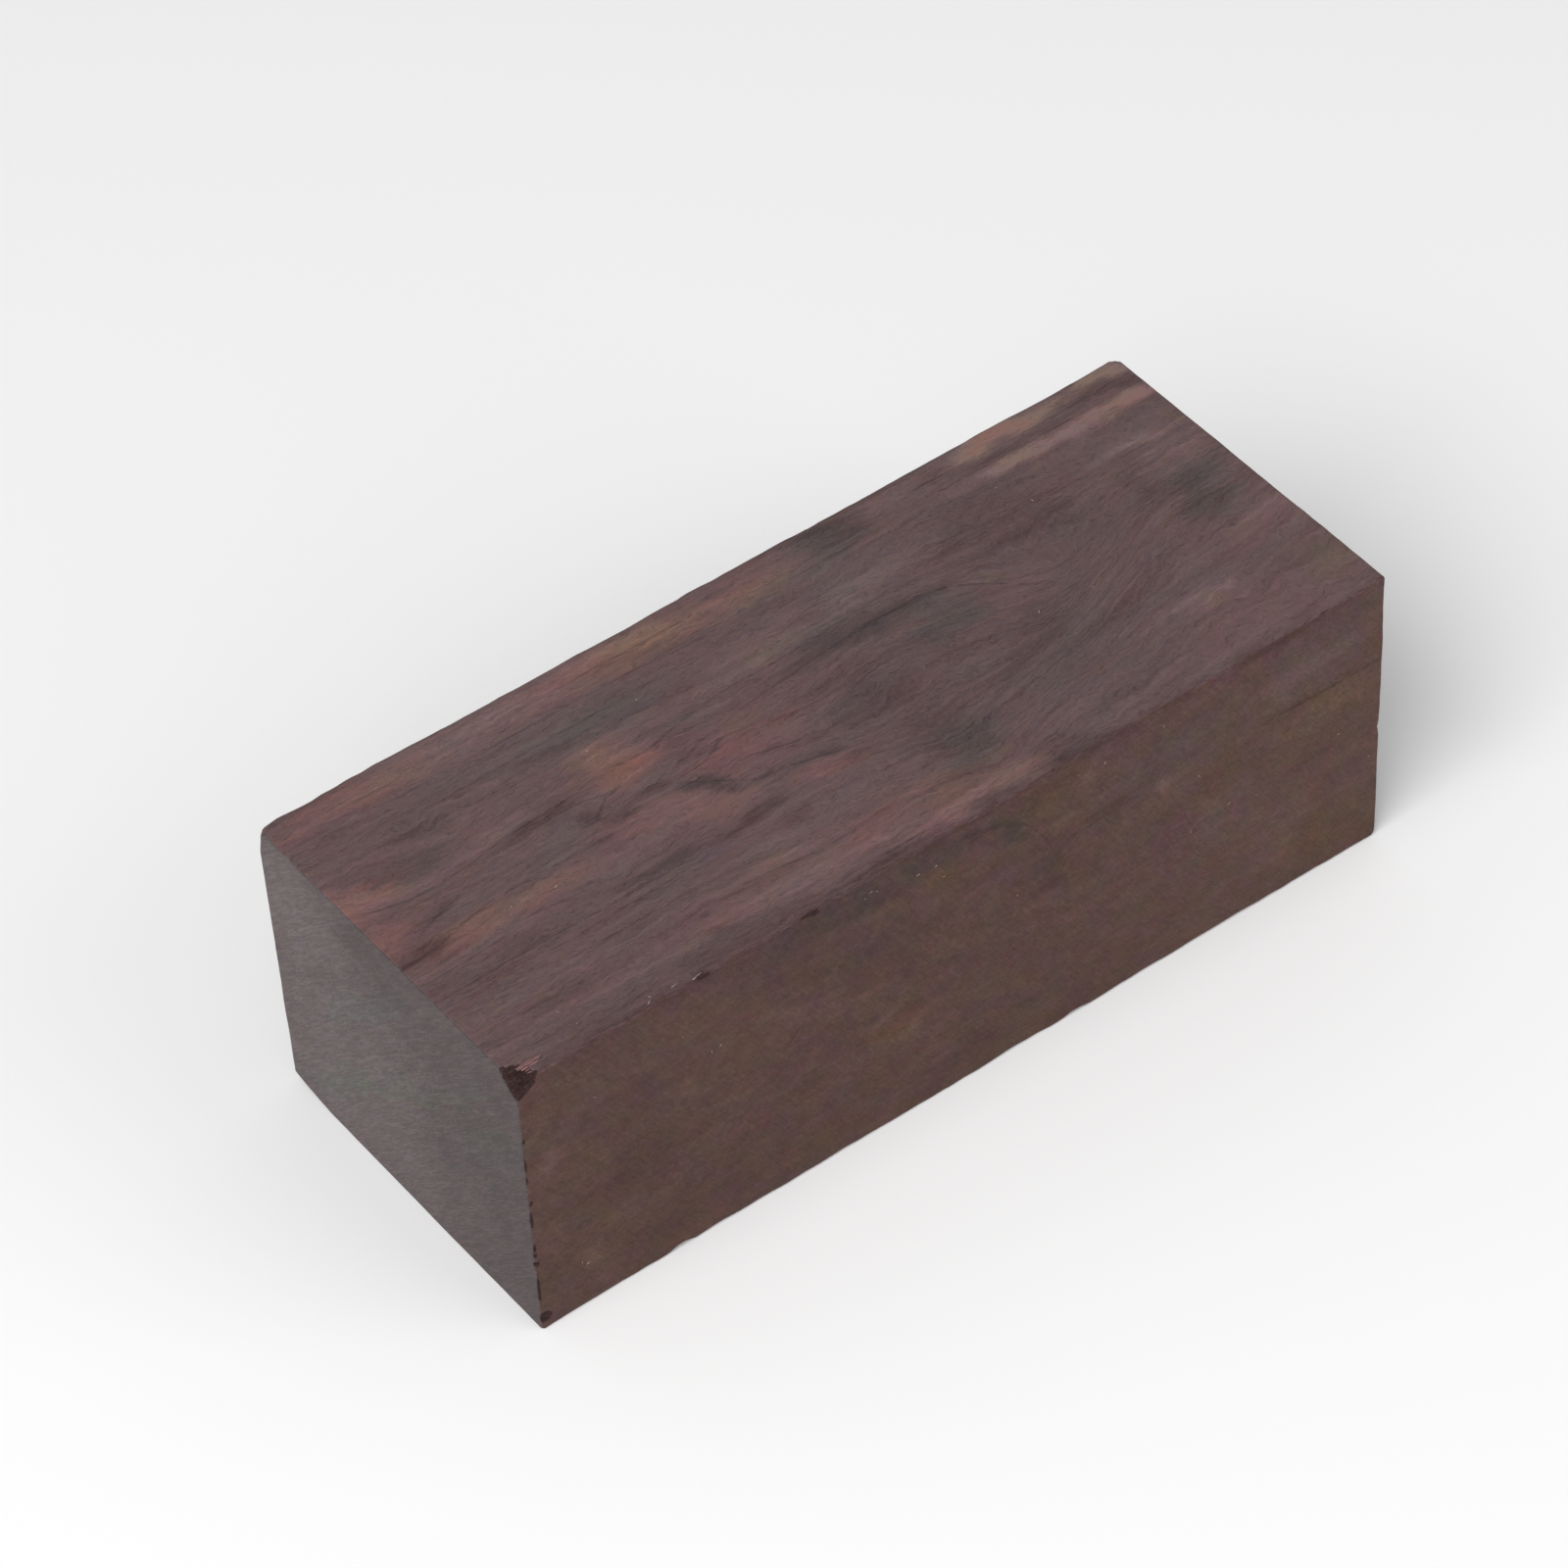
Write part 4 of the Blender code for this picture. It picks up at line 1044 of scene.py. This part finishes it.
def ebony_material():
    """The wood: each kind of surface where it belongs, and torn wood with painted shade in the chips."""
    nodes = Nodes("ebony_wood")
    surface = nodes.attribute("surface")
    join = nodes.noises("join", nodes.attribute("figure", "Vector"))
    ragged = nodes.math("ADD", surface, nodes.swing(join["ragged"], RAGGED_JOIN))
    colour, roughness, height = long_grain(nodes)
    layers = [
        (nodes.rise(ragged, *SIDE_EDGE), sawn_side(nodes)),
        (nodes.math("GREATER_THAN", surface, (SAWN_SIDE + CUT_END) / 2), sanded_end_and_sheen(nodes)),
        # the chips: torn wood, its colour darkened as painted shade
        (nodes.rise(nodes.attribute("broken"), *BROKEN_AND_SHADED_EDGE), broken_wood(nodes)),
    ]
    for share, (next_colour, next_roughness, next_height) in layers:
        colour = nodes.mix(share, colour, next_colour)
        roughness = nodes.blend(share, roughness, next_roughness)
        height = nodes.blend(share, height, next_height)
    nodes.shader.inputs["Specular IOR Level"].default_value = SPECULAR
    return nodes.dress(colour, roughness, height)


def fibre_material(name, shade):
    """Loose wood fibre: pale, streaked along its length."""
    nodes = Nodes(name)
    noises = nodes.noises("fibre", nodes.place_in_mm())
    dark = linear([part * FIBRE_SHADE for part in shade])
    colour = nodes.mix(nodes.rise(noises["streak"], *FIBRE_EDGE), dark, linear(shade))
    return nodes.dress(colour, nodes.rough("fibre", noises), nodes.swing(noises["streak"], FIBRE_HEIGHT))


def fibre_shape(start, end, half_width, number):
    """One bent, tapering fibre: its points and its faces."""
    start, end = np.array(start), np.array(end)
    axis = (end - start) / np.linalg.norm(end - start)
    across = np.cross(axis, [0, 0, 1])
    across /= np.linalg.norm(across)
    up = np.cross(axis, across)
    steps = np.linspace(0, 1, FIBRE_RINGS)
    bends, apart = FIBRE_BENDS
    row = np.full(FIBRE_RINGS, number * apart)
    along_noise = np.stack([steps * bends, row, np.zeros(FIBRE_RINGS)], axis=1)
    points = []
    for step, sway in zip(steps, value_noise(along_noise, SEEDS["fibre"])):
        arch = math.sin(math.pi * (FIBRE_ARCH[0] + FIBRE_ARCH[1] * step)) ** FIBRE_FULLNESS
        radius = half_width * (FIBRE_TIP + (1 - FIBRE_TIP) * arch)
        centre = start + (end - start) * step + across * sway * half_width * FIBRE_BEND
        for turn in range(FIBRE_SIDES):
            angle = 2 * math.pi * turn / FIBRE_SIDES
            outwards = math.cos(angle) * across + FIBRE_FLATNESS * math.sin(angle) * up
            points.append(centre + radius * outwards)
    index = np.arange(len(points)).reshape(FIBRE_RINGS, FIBRE_SIDES)
    after = np.roll(index, -1, axis=1)
    quads = np.stack([index[:-1], after[:-1], after[1:], index[1:]], axis=-1).reshape(-1, 4)
    return points, [*quads.tolist(), index[0, ::-1].tolist(), index[-1].tolist()]


def build_fibres(name, fibres, material):
    """Many fibres as one joined mesh."""
    points, faces = [], []
    for number, (start, end, half_width) in enumerate(fibres):
        more_points, more_faces = fibre_shape(start, end, half_width, number)
        faces += [tuple(len(points) + corner for corner in face) for face in more_faces]
        points += more_points
    joined = new_object(name, [tuple(point * MM) for point in points], faces, material)
    joined.data.shade_smooth()
    return joined


def fleck_fibres():
    """Where the flecks of dust and fibre are, close to the top and the front."""
    fibres = list(LONG_FLECKS)
    for number, (first, second) in enumerate(TOP_FLECKS + FRONT_FLECKS):
        angle = number * FLECK_TURN
        reach = FLECK_LENGTH * (0.5 + 0.5 * ((number * FLECK_STEP) % 1.0))
        step = np.array([math.cos(angle), math.sin(angle)]) * reach / 2
        share = (first + LENGTH / 2) / LENGTH
        if number < len(TOP_FLECKS):
            level = HEIGHT - NEAR_DROP * (1 - share) - FLECK_SINK
            centre, step = np.array([first, second, level]), np.array([step[0], step[1], 0])
        else:
            up = second / HEIGHT
            side = -(WIDTH - FOOT_NARROWING * (1 - up) - FAR_NARROWING * share * up) / 2 + FLECK_SINK
            centre, step = np.array([first, side, second]), np.array([step[0], 0, step[1] * FLECK_SLANT])
        fibres.append((centre - step, centre + step, FLECK_HALF_WIDTH))
    return fibres


def laid_down(fibres, block):
    """The fibres, moved so that both ends lie on the block's surface."""
    surface = BVHTree.FromObject(block, bpy.context.evaluated_depsgraph_get())
    for start, end, half_width in fibres:
        ends = [surface.find_nearest(Vector(place) * MM)[0] / MM for place in (start, end)]
        yield *ends, half_width


def make_wood():
    """The block and what clings to it, riding on the part's one body."""
    block = build_block(ebony_material())
    splinters = build_fibres("torn_splinters", SPLINTERS, fibre_material("pale_splinter", SPLINTER_COLOUR))
    fleck_places = laid_down(fleck_fibres(), block)
    flecks = build_fibres("pale_flecks", fleck_places, fibre_material("pale_fleck", FLECK_COLOUR))
    for piece in (block, splinters, flecks):
        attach(piece, "root")
    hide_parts("wood_blank")


def make_floor():
    """A plain pale floor."""
    nodes = Nodes("pale_floor")
    nodes.shader.inputs["Base Color"].default_value = (FLOOR_WHITE, FLOOR_WHITE, FLOOR_WHITE, 1.0)
    nodes.shader.inputs["Roughness"].default_value = FLOOR_ROUGHNESS
    nodes.shader.inputs["Specular IOR Level"].default_value = FLOOR_SPECULAR
    half = FLOOR_SIZE / 2
    corners = [(-half, -half, 0), (half, -half, 0), (half, half, 0), (-half, half, 0)]
    floor = new_object("studio_floor", corners, [(0, 1, 2, 3)], nodes.material)


def make_light(name, place, size, energy):
    """A soft square light that faces the block."""
    data = bpy.data.lights.new(name, "AREA")
    data.shape = "SQUARE"
    data.size = size
    data.energy = energy
    light = bpy.data.objects.new(name, data)
    light.location = place
    light.rotation_euler = (-Vector(place)).to_track_quat("-Z", "Y").to_euler()
    bpy.context.scene.collection.objects.link(light)


def make_studio():
    """Soft light all round, with a little more from the near left."""
    make_light("key_light", **KEY_LIGHT)
    make_light("fill_light", **FILL_LIGHT)
    world = bpy.data.worlds.new("studio_world")
    world.use_nodes = True
    background = world.node_tree.nodes["Background"]
    background.inputs["Color"].default_value = (1.0, 1.0, 1.0, 1.0)
    background.inputs["Strength"].default_value = WORLD_STRENGTH
    bpy.context.scene.world = world
    bpy.context.scene.view_settings.view_transform = "Standard"


def make_camera():
    """The photograph's camera."""
    level = Vector((-math.sin(CAMERA_AZIMUTH), math.cos(CAMERA_AZIMUTH), 0))
    forward = level * math.cos(CAMERA_ELEVATION) - Vector((0, 0, math.sin(CAMERA_ELEVATION)))
    flat_right = Vector((level.y, -level.x, 0))
    flat_up = flat_right.cross(forward)
    right = flat_right * math.cos(CAMERA_ROLL) - flat_up * math.sin(CAMERA_ROLL)
    up = flat_up * math.cos(CAMERA_ROLL) + flat_right * math.sin(CAMERA_ROLL)
    data = bpy.data.cameras.new("camera")
    data.sensor_width = SENSOR
    data.lens = SENSOR * FOCAL_PIXELS / PICTURE
    camera = bpy.data.objects.new("camera", data)
    place = (CAMERA_AIM - forward * CAMERA_DISTANCE) * MM
    camera.matrix_world = Matrix.Translation(place) @ Matrix((right, up, -forward)).transposed().to_4x4()
    bpy.context.scene.collection.objects.link(camera)
    bpy.context.scene.camera = camera


make_camera()
make_wood()
make_floor()
make_studio()
